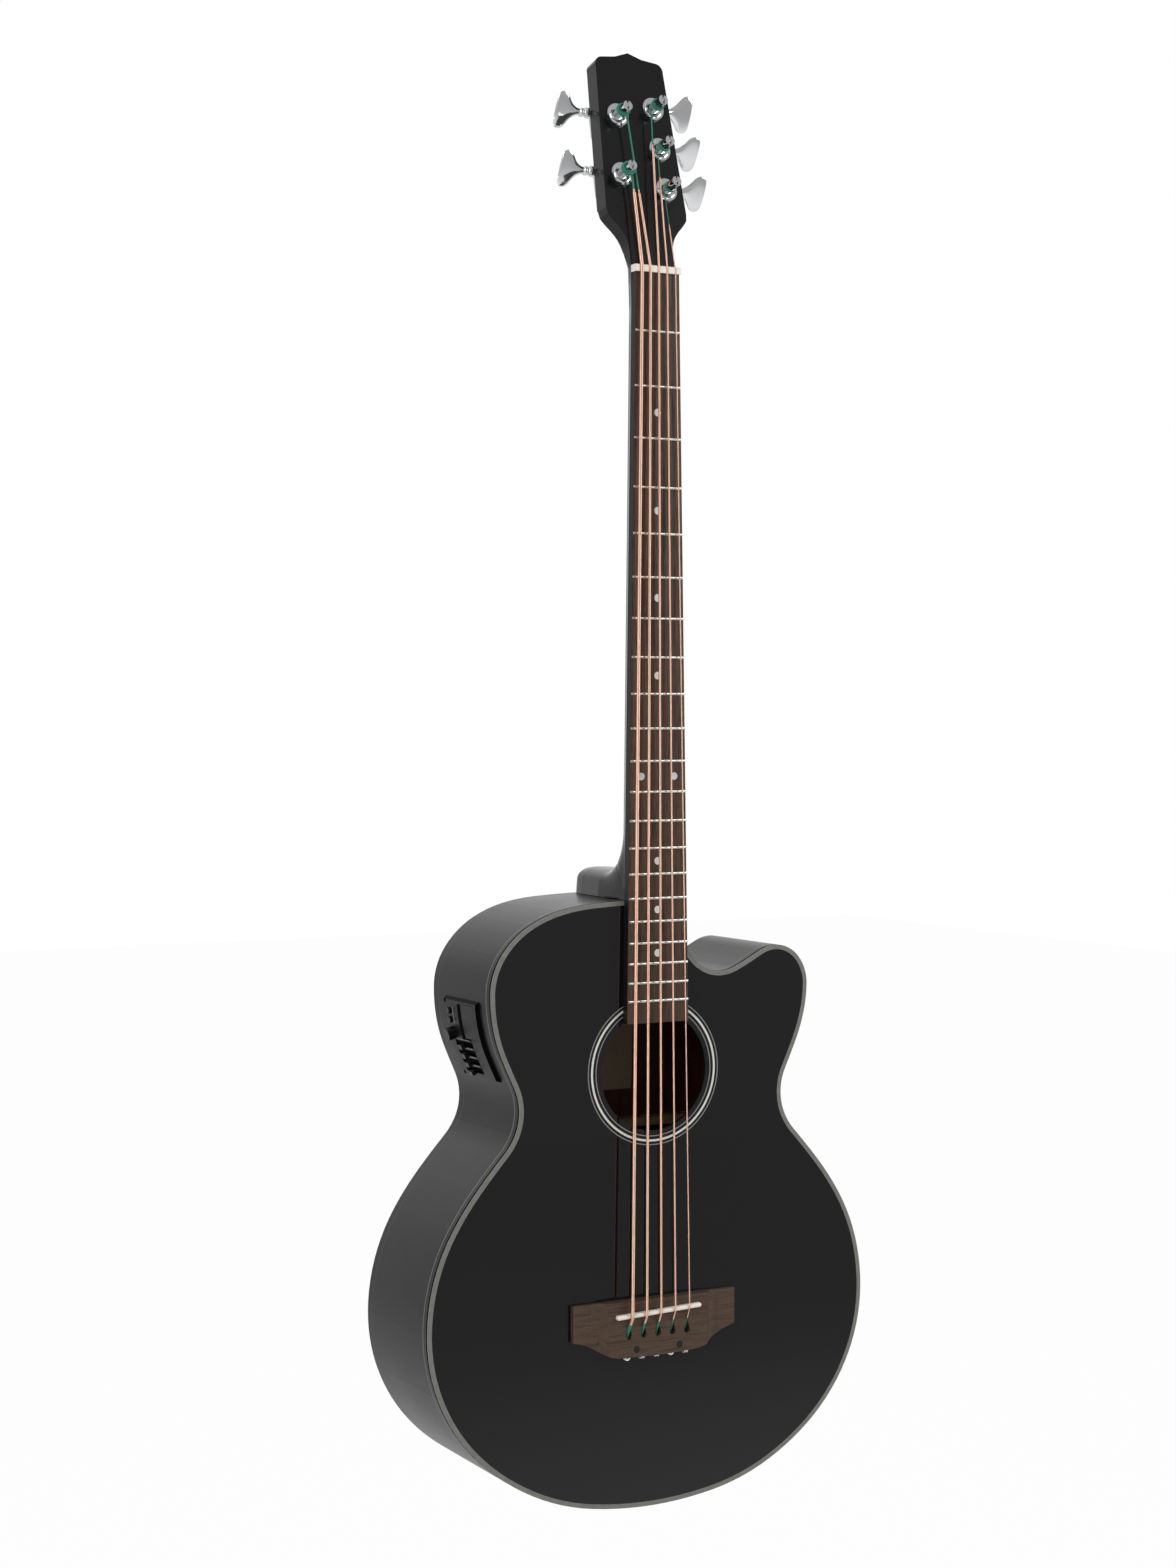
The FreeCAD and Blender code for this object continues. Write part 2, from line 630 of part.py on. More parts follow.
def make_neck():
    straight_top = NUT_Z - 2 * NECK_DEEP
    sweep_z = BODY_LENGTH + HEEL_TALL + HEEL_SWEEP
    sweep_depth = NECK_DEEP + HEEL_SWEEP
    back = V(0, 1, 0)
    low_section = section(at(0, 0, sweep_z), back, board_half(sweep_z), board_half(sweep_z) - 1.0, NECK_DEEP, NECK_ROUND)
    high_section = section(at(0, 0, straight_top), back, board_half(straight_top), board_half(straight_top) - 1.0, NECK_DEEP, NECK_ROUND)
    shaft = Part.makeLoft([low_section, high_section], True, True)
    half, dome = FLARE_SHARES[0][1] * HEAD_HALF, FLARE_SHARES[0][2] * HEAD_THICK
    top_section = section(head_frame(0, 0, 0), HEAD_UP * -1, half, half - LOOSE, HEAD_THICK, dome)
    throat = Part.makeLoft([high_section, top_section], True, True)
    wires = []
    corner = math.degrees(math.atan2(HEEL_TALL + HEEL_SWEEP, sweep_depth))
    for angle in (0.0, 8.0, 16.0, 24.0, 32.0, 40.0, corner, 57.0, 65.0, 73.0, 81.0, 90.0):
        phi = math.radians(angle)
        if angle <= corner:
            reach = sweep_depth / math.cos(phi)
        else:
            reach = (HEEL_TALL + HEEL_SWEEP) / math.sin(phi)
        base = at(0, sweep_depth - reach * math.cos(phi), sweep_z - reach * math.sin(phi))
        up = V(0, math.cos(phi), math.sin(phi))
        share = angle / 90.0
        half = board_half(sweep_z) + share * (HEEL_HALF_SWEEP - board_half(sweep_z))
        wires.append(section(base, up, half, half - 1.0, reach - HEEL_SWEEP, NECK_ROUND))
    straight = HEEL_BACK - sweep_depth
    for share, sink, narrow in ((0.35, 0.0, 0.0), (0.70, 0.0, 0.0), (0.90, 0.5, 0.3), (0.97, 1.8, 1.2), (1.0, 4.5, 2.8)):
        half = HEEL_HALF_SWEEP + share * (HEEL_HALF_END - HEEL_HALF_SWEEP) - narrow
        wires.append(section(at(0, sweep_depth + share * straight, BODY_LENGTH), V(0, 0, 1), half, half - 1.0, HEEL_TALL - sink, NECK_ROUND - sink))
    heel = Part.makeLoft(wires, True, True)
    foot = Part.Face(section(at(0, 0, BODY_LENGTH), back, 27.0, 26.0, sweep_depth, NECK_ROUND)).extrude(V(0, 0, 1))
    neck = shaft.fuse([throat, heel, make_headstock(), foot]).removeSplitter()
    neck = neck.cut(region(0, -OVER, FULL))
    neck = neck.cut(box(-HALF_WIDTH, HALF_WIDTH, -3 * OVER, 0, 0, NUT_Z + NUT_LONG))
    channel = box(-ROD_WIDE / 2 - SLIP, ROD_WIDE / 2 + SLIP, 0, ROD_DEEP + SLIP, BODY_LENGTH, NUT_Z - 2 * NUT_LONG)
    neck = neck.cut(channel)
    for depth in BOLT_DEPTHS:
        neck = neck.cut(Part.makeCylinder(BOLT_RADIUS + SLIP, BOLT_BITE, at(0, depth, BODY_LENGTH), V(0, 0, 1)))
    for x, s, side in POSTS:
        neck = neck.cut(Part.makeCylinder(SLEEVE_RADIUS, SLEEVE_LONG, head_frame(x, s, 0), HEAD_UP * -1))
        neck = neck.cut(Part.makeCylinder(POST_RADIUS + LOOSE, 2 * HEAD_THICK, head_frame(x, s, HEAD_THICK / 2), HEAD_UP * -1))
    cap_slab = box(-HALF_WIDTH, HALF_WIDTH, HEEL_BACK - HEEL_CAP_THICK, FULL, 0, NUT_Z)
    keep("heel_cap", neck.common(cap_slab))
    neck = neck.cut(cap_slab)
    strap_x = HEEL_HALF_SWEEP - (HEEL_HALF_SWEEP - HEEL_HALF_END) * STRAP_SHARE + LOOSE
    strap_depth = sweep_depth + straight * STRAP_SHARE
    strap_z = BODY_LENGTH + HEEL_TALL * STRAP_SHARE
    spots = [strap_x - STRAP_TALL, strap_x, strap_x + STRAP_FLANGE, strap_x + STRAP_TALL - STRAP_FLANGE]
    spots = [at(spot, strap_depth, strap_z) for spot in spots]
    out = V(1, 0, 0)
    button = Part.makeCylinder(STRAP_SCREW, STRAP_TALL + STRAP_FLANGE, spots[0], out)
    button = button.fuse([
        Part.makeCone(STRAP_HEAD * 0.8, STRAP_NECK, STRAP_FLANGE, spots[1], out),
        Part.makeCylinder(STRAP_NECK, STRAP_TALL - STRAP_FLANGE, spots[1], out),
        Part.makeCone(STRAP_NECK, STRAP_HEAD, STRAP_FLANGE, spots[3], out),
    ]).removeSplitter()
    neck = neck.cut(Part.makeCylinder(STRAP_SCREW + SLIP, STRAP_TALL + OVER, spots[0], out))
    keep("strap_button", button)
    keep("neck", neck)
    keep("truss_rod", box(-ROD_WIDE / 2, ROD_WIDE / 2, SLIP, ROD_DEEP, BODY_LENGTH + SLIP, NUT_Z - 3 * NUT_LONG))
    bolts = []
    low = BODY_LENGTH - NECK_BLOCK_LONG
    for depth in BOLT_DEPTHS:
        shank = Part.makeCylinder(BOLT_RADIUS, NECK_BLOCK_LONG + BOLT_BITE - SLIP, at(0, depth, low), V(0, 0, 1))
        head = Part.makeCylinder(BOLT_HEAD, BOLT_HEAD_TALL, at(0, depth, low - BOLT_HEAD_TALL), V(0, 0, 1))
        bolts.append(shank.fuse(head).removeSplitter())
    keep("neck_bolts", group(bolts))


def post_places():
    """Five posts as (x, s, side), in the order of the strings, thickest first."""
    places = []
    for s in BASS_POST_S:
        places.append((-(head_half(s) - POST_INSET), s, -1))
    for s in TREBLE_POST_S:
        places.append((head_half(s) - POST_INSET, s, 1))
    return places


POSTS = post_places()


def make_fingerboard():
    def corner(z, side, depth):
        return at(side * board_half(z), depth, z)

    low, high = BOARD_END_Z, NUT_Z
    wire = Part.makePolygon([corner(low, -1, 0), corner(low, 1, 0), corner(high, 1, 0), corner(high, -1, 0), corner(low, -1, 0)])
    board = Part.Face(wire).extrude(V(0, -BOARD_THICK, 0))
    frets = []
    slots = []
    for n in range(1, FRETS + 1):
        z = fret_z(n)
        half = board_half(z) - FRET_INSET
        profile = [
            Part.Arc(at(-half, -BOARD_THICK, z - FRET_WIDE / 2), at(-half, -BOARD_THICK - FRET_TALL, z), at(-half, -BOARD_THICK, z + FRET_WIDE / 2)).toShape(),
            Part.LineSegment(at(-half, -BOARD_THICK, z + FRET_WIDE / 2), at(-half, -BOARD_THICK, z - FRET_WIDE / 2)).toShape(),
        ]
        crown = Part.Face(Part.Wire(profile)).extrude(V(2 * half, 0, 0))
        tang = box(-half, half, -BOARD_THICK, -BOARD_THICK + TANG_DEEP, z - TANG_WIDE / 2, z + TANG_WIDE / 2)
        slots.append(tang)
        frets.append(crown.fuse(tang).removeSplitter())
    board = board.cut(slots)
    dots = []
    for n in SINGLE_DOTS + (DOUBLE_DOT,):
        z = (fret_z(n) + fret_z(n - 1)) / 2
        spread = (-DOT_SPREAD, DOT_SPREAD) if n == DOUBLE_DOT else (0.0,)
        for x in spread:
            dots.append(Part.makeCylinder(DOT_RADIUS, DOT_THICK, at(x, -BOARD_THICK, z), V(0, 1, 0)))
    board = board.cut(dots)
    keep("fingerboard", board)
    keep("frets", group(frets))
    keep("position_dots", group(dots))


def string_line(i):
    """x of string i at the saddle and at the nut, and its radius."""
    place = i - 2
    return BRIDGE_X + place * SADDLE_PITCH, place * NUT_PITCH, STRING_RADII[i]


def saddle_z(x):
    """The saddle leans: its treble end stands nearer to the neck."""
    return SADDLE_MID_Z + (x - BRIDGE_X) * math.tan(math.radians(SADDLE_SLANT))


def string_path(i):
    """The corners of string i: ball end, bridge hole, saddle, nut and post."""
    x_saddle, x_nut, r = string_line(i)
    x_slot = BRIDGE_X + (i - 2) * SLOT_PITCH
    post_x, post_s, side = POSTS[i]
    silk = r * SILK_SHARE
    hole = at(x_slot, -BALL_AXIS, SLOT_LOW_Z)
    crown = at(x_saddle, -STRING_TOP_SADDLE - r - 2 * SLIP, saddle_z(x_saddle))
    climb = math.atan2(hole.y - crown.y, crown.z - hole.z)
    crown.z -= string_bend(i) * math.tan(climb / 2)
    return [
        at(x_slot, -BALL_AXIS, BALL_Z + BALL_RADIUS * BALL_GRIP_SHARE),
        hole,
        crown,
        at(x_nut, -STRING_TOP_NUT - r, NUT_Z + NUT_LONG / 2),
        head_frame(post_x - side * (POST_RADIUS + LOOSE + silk), post_s, BUSHING_TALL + 4 * silk),
    ]


def string_bend(i):
    """Bend radius of string i's middle, round the crown of the saddle."""
    return SADDLE_WIDE / 2 + STRING_RADII[i] + 2 * SLIP


def make_nut():
    nut = box(-NUT_HALF, NUT_HALF, -NUT_TALL, 0, NUT_Z, NUT_Z + NUT_LONG)
    edge = [e for e in nut.Edges if abs(e.Vertexes[0].Z - NUT_Z - NUT_LONG) < 1e-6 and abs(e.Vertexes[1].Z - NUT_Z - NUT_LONG) < 1e-6
            and abs(e.Vertexes[0].Y - e.Vertexes[1].Y) < 1e-6 and e.Vertexes[0].Y < -JACK_DEPTH - NUT_TALL / 2]
    nut = nut.makeFillet(NUT_LONG / 3, edge)
    fall = NUT_LONG / 2 * math.tan(math.radians(HEAD_TILT))
    for i in range(5):
        gap = STRING_RADII[i] + 3 * SLIP
        before, middle, after = string_path(i)[2:]
        for end in (before, after):
            out = (end - middle).normalize()
            nut = nut.cut(Part.makeCylinder(gap, OVER, middle - out * gap, out))
        sag = -STRING_TOP_NUT - STRING_RADII[i]
        nut = nut.cut(box(middle.x - gap, middle.x + gap, -NUT_TALL - OVER, sag, NUT_Z - OVER, NUT_Z + OVER))
        nut = nut.cut(box(middle.x - gap, middle.x + gap, -NUT_TALL - OVER, sag + fall, NUT_Z + NUT_LONG / 2, NUT_Z + OVER))
    keep("nut", nut)


def make_bridge():
    half = BRIDGE_HALF
    points = [(x * half, BRIDGE_TOP_Z - d * BRIDGE_DROP) for x, d in BRIDGE_BELLY_SHARES]
    right = [at(x, 0, z) for x, z in points]
    left = [at(-x, 0, z) for x, z in reversed(points[:-1])]
    belly = Part.BSplineCurve()
    belly.interpolate(right + left)
    edges = [
        belly.toShape(),
        Part.LineSegment(left[-1], at(-half, 0, BRIDGE_TOP_Z)).toShape(),
        Part.LineSegment(at(-half, 0, BRIDGE_TOP_Z), at(half, 0, BRIDGE_TOP_Z)).toShape(),
        Part.LineSegment(at(half, 0, BRIDGE_TOP_Z), right[0]).toShape(),
    ]
    plan = Part.Face(Part.Wire(edges)).extrude(V(0, -2 * BRIDGE_TALL, 0))
    low = BRIDGE_TOP_Z - 2 * BRIDGE_DROP
    shoulder = BLOCK_HALF + 3 * WING_TALL

    def side_points(sign):
        return (at(sign * half, -WING_TALL, low), at(sign * shoulder, -WING_TALL, low),
                at(sign * (BLOCK_HALF + WING_TALL), -(WING_TALL + 1.2), low), at(sign * BLOCK_HALF, -BRIDGE_TALL, low))

    r0, r1, r2, r3 = side_points(1)
    l0, l1, l2, l3 = side_points(-1)
    profile = [
        Part.LineSegment(at(-half, 0, low), at(half, 0, low)).toShape(),
        Part.LineSegment(at(half, 0, low), r0).toShape(),
        Part.LineSegment(r0, r1).toShape(),
        Part.Arc(r1, r2, r3).toShape(),
        Part.LineSegment(r3, l3).toShape(),
        Part.Arc(l3, l2, l1).toShape(),
        Part.LineSegment(l1, l0).toShape(),
        Part.LineSegment(l0, at(-half, 0, low)).toShape(),
    ]
    body = Part.Face(Part.Wire(profile)).extrude(V(0, 0, 4 * BRIDGE_DROP)).common(plan)
    body.translate(V(BRIDGE_X, 0, 0))
    foot = -SADDLE_FOOT + PICKUP_THICK
    slot = box(-SADDLE_LONG / 2 - SLIP, SADDLE_LONG / 2 + SLIP, -OVER, foot, -SADDLE_WIDE / 2 - SLIP, SADDLE_WIDE / 2 + SLIP)
    body = body.cut(leaned(slot))
    for i in range(5):
        gap = STRING_RADII[i] + LOOSE
        _, hole, crown = string_path(i)[:3]
        climb = crown - hole
        body = body.cut([
            Part.makeCylinder(BALL_RADIUS * BALL_BORE_SHARE, OVER, V(hole.x, hole.y, BALL_Z + BALL_RADIUS + LOOSE - OVER), V(0, 0, 1)),
            Part.makeCylinder(gap, OVER, hole + V(0, 0, gap - OVER), V(0, 0, 1)),
            Part.makeCylinder(gap, climb.Length + gap, hole - climb * (gap / climb.Length), climb),
        ])
        mouth = [hole + V(-gap, 0, -gap), hole + V(-gap, 0, 0), hole + V(-gap, climb.y, climb.z)]
        mouth += [mouth[2] + V(0, -OVER, 0), mouth[0] + V(0, -OVER, 0), mouth[0]]
        body = body.cut(Part.Face(Part.makePolygon(mouth)).extrude(V(2 * gap, 0, 0)))
        apex = hole + V(0, gap, gap)
        drop = [apex + V(-POCKET_RADIUS, 0, 0), apex + V(POCKET_RADIUS, 0, 0), apex + V(0, 0, POCKET_TALL), apex + V(-POCKET_RADIUS, 0, 0)]
        body = body.cut([
            Part.makeCylinder(POCKET_RADIUS, OVER, apex, V(0, -1, 0)),
            Part.Face(Part.makePolygon(drop)).extrude(V(0, -OVER, 0)),
        ])
    caps = []
    bolts = []
    under = TOP_THICK + BRIDGE_PLATE_THICK
    for x in (BRIDGE_X - CAP_X, BRIDGE_X + CAP_X):
        body = body.cut(Part.makeCylinder(CAP_RADIUS, BRIDGE_TALL - SADDLE_FOOT, at(x, -SADDLE_FOOT, CAP_Z), V(0, -1, 0)))
        body = body.cut(Part.makeCylinder(BRIDGE_BOLT_RADIUS + SLIP, 2 * OVER, at(x, -OVER, CAP_Z), V(0, 1, 0)))
        caps.append(Part.makeCylinder(CAP_RADIUS, CAP_THICK, at(x, -BRIDGE_TALL, CAP_Z), V(0, 1, 0)))
        head = Part.makeCylinder(BRIDGE_BOLT_HEAD, CAP_RADIUS, at(x, -SADDLE_FOOT, CAP_Z), V(0, -1, 0))
        shank = Part.makeCylinder(BRIDGE_BOLT_RADIUS, SADDLE_FOOT + under + CAP_RADIUS, at(x, -SADDLE_FOOT, CAP_Z), V(0, 1, 0))
        nut = ring(2 * BRIDGE_BOLT_RADIUS, BRIDGE_BOLT_RADIUS, under, under + CAP_RADIUS, x, CAP_Z)
        bolts.append(head.fuse([shank, nut]).removeSplitter())
    keep("bridge", body)
    keep("bridge_bolt_caps", group(caps))
    keep("bridge_bolts", group(bolts))
    crown = SADDLE_WIDE / 2
    saddle = box(-SADDLE_LONG / 2, SADDLE_LONG / 2, -STRING_TOP_SADDLE + crown, -SADDLE_FOOT, -crown, crown)
    upright = [e for e in saddle.Edges if abs(e.Vertexes[0].Y - e.Vertexes[1].Y) > 1]
    saddle = saddle.makeFillet(SADDLE_WIDE * 0.45, upright)
    bead = SADDLE_LONG / 2 - crown
    saddle = saddle.fuse([
        Part.makeCylinder(crown, 2 * bead, at(-bead, -STRING_TOP_SADDLE + crown, 0), V(1, 0, 0)),
        Part.makeSphere(crown, at(-bead, -STRING_TOP_SADDLE + crown, 0)),
        Part.makeSphere(crown, at(bead, -STRING_TOP_SADDLE + crown, 0)),
    ])
    keep("saddle", leaned(saddle))
    pad = SADDLE_WIDE * 0.4
    keep("saddle_pickup", leaned(box(-SADDLE_LONG / 2 + pad, SADDLE_LONG / 2 - pad, -SADDLE_FOOT, foot, -pad, pad)))


def leaned(shape):
    """Turns what was made across the body to the saddle's lean and puts it in its place."""
    shape.rotate(V(0, 0, 0), V(0, 1, 0), -SADDLE_SLANT)
    shape.translate(V(BRIDGE_X, 0, SADDLE_MID_Z))
    return shape


BALL_AXIS = 5.4                # ball ends above the soundboard
BALL_Z = BRIDGE_TOP_Z - BRIDGE_DROP + 0.6
SLOT_LOW_Z = BALL_Z + 17.0


def tube(points, radius, bend):
    """A round rod along straight runs joined by tangent arcs."""
    edges = []
    here = points[0]
    for i in range(1, len(points) - 1):
        before = (points[i] - points[i - 1]).normalize()
        after = (points[i + 1] - points[i]).normalize()
        turn = before.getAngle(after)
        if turn < 1e-3:
            continue
        cut = bend * math.tan(turn / 2)
        start = points[i] - before * cut
        end = points[i] + after * cut
        inward = (after - before).normalize()
        middle = points[i] + inward * (bend / math.cos(turn / 2) - bend)
        edges.append(Part.LineSegment(here, start).toShape())
        edges.append(Part.Arc(start, middle, end).toShape())
        here = end
    edges.append(Part.LineSegment(here, points[-1]).toShape())
    if len(edges) == 1:
        return Part.makeCylinder(radius, (points[-1] - here).Length, here, points[-1] - here)
    spine = Part.Wire(edges)
    direction = points[1] - points[0]
    profile = Part.Wire([Part.makeCircle(radius, points[0], direction)])
    return spine.makePipeShell([profile], True, False)


def least_gap(spine, radius, turns):
    """The least gap between the turns of a round spine, measured on points."""
    count = int(POINTS_A_TURN * turns)
    points = spine.discretize(Number=count + 1)
    least = 2.0 * OVER
    for a in range(count + 1):
        for b in range(a + POINTS_A_TURN // 2, count + 1):
            least = min(least, (points[a] - points[b]).Length)
    return least - 2 * radius


def winding(centre_x, s, side, radius, turns, low):
    """Silk wrapped string end: a helix round a post, from quarter turn arcs."""
    reach = POST_RADIUS + SLIP + radius
    pitch = 2 * radius + WIND_GAP

    def point(turn):
        angle = 2 * math.pi * turn * side
        return head_frame(centre_x - side * reach * math.cos(angle), s - side * reach * math.sin(angle), low + pitch * turn)

    quarters = int(round(4 * turns))
    edges = []
    for q in range(quarters):
        edges.append(Part.Arc(point(q / 4), point((q + 0.5) / 4), point((q + 1) / 4)).toShape())
    spine = Part.Wire(edges)
    along = edges[0].tangentAt(edges[0].FirstParameter)
    profile = Part.makeCircle(radius, point(0), along).discretize(Number=WIND_SIDES + 1)
    return spine.makePipeShell([Part.makePolygon(profile)], True, False), least_gap(spine, radius, turns)


def make_strings():
    strings = []
    for i in range(5):
        r = STRING_RADII[i]
        post_x, post_s, side = POSTS[i]
        silk = r * SILK_SHARE
        points = string_path(i)
        run = points[4] - points[3]
        thin = points[3] + run * (SILK_START[i] / run.Length)
        wire = tube(points[:4] + [thin], r, string_bend(i))
        wire = wire.fuse(Part.makeCylinder(silk, run.Length - SILK_START[i] + r, thin - run * (r / run.Length), run))
        low = BUSHING_TALL + 6 * silk + LOOSE
        coil, gap = winding(post_x, post_s, side, silk, WIND_TURNS, low)
        print("winding", i + 1, "least gap", round(gap, 3), "valid", coil.isValid())
        keep("string_winding_%d" % (i + 1), coil)
        middle = at(points[0].x, -BALL_AXIS, BALL_Z)
        axis = V(0, 1, 0) if i in TURNED_BALLS else V(1, 0, 0)
        foot = middle - axis * (BALL_THICK / 2)
        spool = Part.makeCylinder(BALL_RADIUS * BALL_WAIST_SHARE, BALL_THICK, foot, axis)
        flange = BALL_THICK * BALL_FLANGE_SHARE
        for place in (foot, foot + axis * (BALL_THICK - flange)):
            spool = spool.fuse(Part.makeCylinder(BALL_RADIUS, flange, place, axis))
        spool = spool.removeSplitter().cut(Part.makeCylinder(BALL_RADIUS / 2, BALL_THICK, foot, axis))
        wire = wire.fuse(spool)
        print("string", i + 1, "valid", wire.isValid(), "solids", len(wire.Solids), "volume", round(wire.Volume))
        strings += wire.Solids
    keep("strings", group(strings))


def head_box(x, s, h, wide, long, tall):
    """A box on the headstock, centred on x and s, rising from height h."""
    base = Part.makeBox(wide, long, tall)
    matrix = FreeCAD.Matrix()
    origin = head_frame(x - wide / 2, s - long / 2, h)
    for row, values in enumerate(zip((1, 0, 0), HEAD_ALONG, HEAD_UP, origin)):
        for column, value in enumerate(values):
            setattr(matrix, "A%d%d" % (row + 1, column + 1), value)
    return base.transformGeometry(matrix)


def make_tuners():
    bushings = []
    housings = []
    screws = []
    for i, (x, s, side) in enumerate(POSTS):
        down = HEAD_UP * -1
        flange = Part.makeCylinder(BUSHING_RADIUS, BUSHING_FLANGE, head_frame(x, s, 0), HEAD_UP)
        step = Part.makeCone(BUSHING_STEP_RADIUS + 0.8, BUSHING_STEP_RADIUS, BUSHING_TALL - BUSHING_FLANGE, head_frame(x, s, BUSHING_FLANGE), HEAD_UP)
        sleeve = Part.makeCylinder(SLEEVE_RADIUS - SLIP, SLEEVE_LONG - SLIP, head_frame(x, s, 0), down)
        bushing = flange.fuse([step, sleeve]).removeSplitter()
        bushings.append(bushing.cut(Part.makeCylinder(POST_RADIUS + SLIP, 4 * OVER, head_frame(x, s, -2 * OVER), HEAD_UP)))
        post = Part.makeCylinder(POST_RADIUS, POST_TALL + HEAD_THICK + HOUSING_THICK / 2, head_frame(x, s, POST_TALL), down)
        slot = head_box(x, s, POST_TALL - 3.2, 1.6, 4 * POST_RADIUS, OVER)
        bore = Part.makeCylinder(1.4, 7.0, head_frame(x, s, POST_TALL), down)
        keep("tuner_post_%d" % (i + 1), post.cut([slot, bore]))
        shaft_s = s + WORM_RISE
        key_h = -HEAD_THICK - HOUSING_THICK / 2
        case = head_box(x, s + WORM_RISE / 3, -HEAD_THICK - HOUSING_THICK, HOUSING_WIDE, HOUSING_LONG, HOUSING_THICK)
        edges = [e for e in case.Edges if abs((e.Vertexes[0].Point - e.Vertexes[1].Point).normalize().dot(HEAD_UP)) > 0.9]
        case = case.makeFillet(5.0, edges)
        low_edges = [e for e in case.Edges if all(abs((v.Point - head_frame(0, 0, -HEAD_THICK - HOUSING_THICK)).dot(HEAD_UP)) < 0.01 for v in e.Vertexes)]
        case = case.makeChamfer(1.5, low_edges)
        case = case.cut(Part.makeCylinder(POST_RADIUS + SLIP, HOUSING_THICK / 2 + SLIP, head_frame(x, s, -HEAD_THICK), down))
        out = V(side, 0, 0)
        edge_x = side * (head_half(shaft_s) + KEY_OUT)
        inner_x = x + side * HOUSING_WIDE / 8
        shaft_bore = Part.makeCylinder(KEY_SHAFT_RADIUS + SLIP, OVER, head_frame(inner_x - side * SLIP, shaft_s, key_h), out)
        neck_start = x + side * HOUSING_WIDE / 2
        boss = Part.makeCone(5.4, 4.4, 5.0, head_frame(neck_start, shaft_s, key_h), out)
        case = case.fuse(boss).removeSplitter().cut(shaft_bore)
        screw_s = s + WORM_RISE / 3 - HOUSING_LONG / 2 + 2 * CASE_SCREW
        screw = Part.makeCylinder(CASE_SCREW, HOUSING_THICK / 3, head_frame(x, screw_s, -HEAD_THICK - HOUSING_THICK * 1.05), HEAD_UP)
        case = case.cut(screw)
        screws.append(screw)
        housings.append(case)
        keep("tuner_key_%d" % (i + 1), make_key(shaft_s, key_h, inner_x, edge_x, side, KEY_TURNS[i]))
    keep("tuner_bushings", group(bushings))
    keep("tuner_screws", group(screws))
    keep("tuner_housings", group(housings))


# Key outline: along the shaft over KEY_LONG from the outer edge, half span over KEY_SPAN / 2
KEY_SHARES = [
    (1.0, 0.17),
    (0.72, 0.20),
    (0.48, 0.40),
    (0.30, 0.72),
    (0.17, 0.94),
    (0.03, 1.0),
    (-0.03, 0.88),
    (0.0, 0.45),
    (0.02, 0.0),
]


def make_key(s, h, inner_x, edge_x, side, turn):
    """Shaft, collar and flared finger piece, turned about the shaft."""
    out = V(side, 0, 0)
    root_x = edge_x - side * KEY_LONG
    shaft = Part.makeCylinder(KEY_SHAFT_RADIUS, abs(root_x - inner_x) + KEY_LONG / 4, head_frame(inner_x, s, h), out)
    collar = Part.makeCylinder(COLLAR_RADIUS, COLLAR_LONG, head_frame(root_x - side * COLLAR_LONG * 0.6, s, h), out)

    def place(along, across):
        return head_frame(edge_x - side * along * KEY_LONG, s + across * KEY_SPAN / 2, h - KEY_THICK / 2)

    upper = [place(a, w) for a, w in KEY_SHARES]
    lower = [place(a, -w) for a, w in reversed(KEY_SHARES[:-1])]
    flank = Part.BSplineCurve()
    flank.interpolate(upper[:6])
    rim_edge = Part.BSplineCurve()
    rim_edge.interpolate(upper[5:] + lower[:4])
    flank_low = Part.BSplineCurve()
    flank_low.interpolate(lower[3:])
    root = Part.LineSegment(lower[-1], upper[0]).toShape()
    wire = Part.Wire([flank.toShape(), rim_edge.toShape(), flank_low.toShape(), root])
    blade = Part.Face(wire).extrude(HEAD_UP * KEY_THICK)
    thin = KEY_THICK * 0.34
    wedge_points = [
        head_frame(edge_x + side * 2, s - KEY_SPAN, h - KEY_THICK / 2),
        head_frame(edge_x + side * 2, s - KEY_SPAN, h + KEY_THICK / 2),
        head_frame(edge_x - side * 3, s - KEY_SPAN, h + KEY_THICK / 2),
        head_frame(edge_x - side * KEY_LONG * 0.6, s - KEY_SPAN, h + thin),
        head_frame(edge_x - side * KEY_LONG, s - KEY_SPAN, h + KEY_SHAFT_RADIUS),
        head_frame(edge_x - side * KEY_LONG, s - KEY_SPAN, h - KEY_SHAFT_RADIUS),
        head_frame(edge_x - side * KEY_LONG * 0.6, s - KEY_SPAN, h - thin),
        head_frame(edge_x - side * 3, s - KEY_SPAN, h - KEY_THICK / 2),
        head_frame(edge_x + side * 2, s - KEY_SPAN, h - KEY_THICK / 2),
    ]
    wedge = Part.Face(Part.makePolygon(wedge_points)).extrude(HEAD_ALONG * (2 * KEY_SPAN))
    blade = blade.common(wedge)
    blade.rotate(head_frame(edge_x, s, h), V(1, 0, 0), turn)
    return shaft.fuse([collar, blade]).removeSplitter()


def side_frame(z, depth):
    """Base point and directions on the bass side's outside: y, up along it, outwards."""
    x, out = side_at(z)
    along = V(-out.z, 0, out.x)
    if along.z < 0:
        along = along * -1
    return at(x, depth, z), V(0, 1, 0), along, out


def side_box(z, depth, wide, tall, low, high):
    """A box on the side: wide across the depth, tall along it, between two heights outwards."""
    base, across, along, out = side_frame(z, depth)
    origin = base - across * (wide / 2) - along * (tall / 2) + out * low
    solid = Part.makeBox(wide, tall, high - low)
    matrix = FreeCAD.Matrix()
    for row, values in enumerate(zip(across, along, out, origin)):
        for column, value in enumerate(values):
            setattr(matrix, "A%d%d" % (row + 1, column + 1), value)
    return solid.transformGeometry(matrix)


def side_pin(z, depth, radius, low, high):
    base, across, along, out = side_frame(z, depth)
    return Part.makeCylinder(radius, high - low, base + out * low, out)


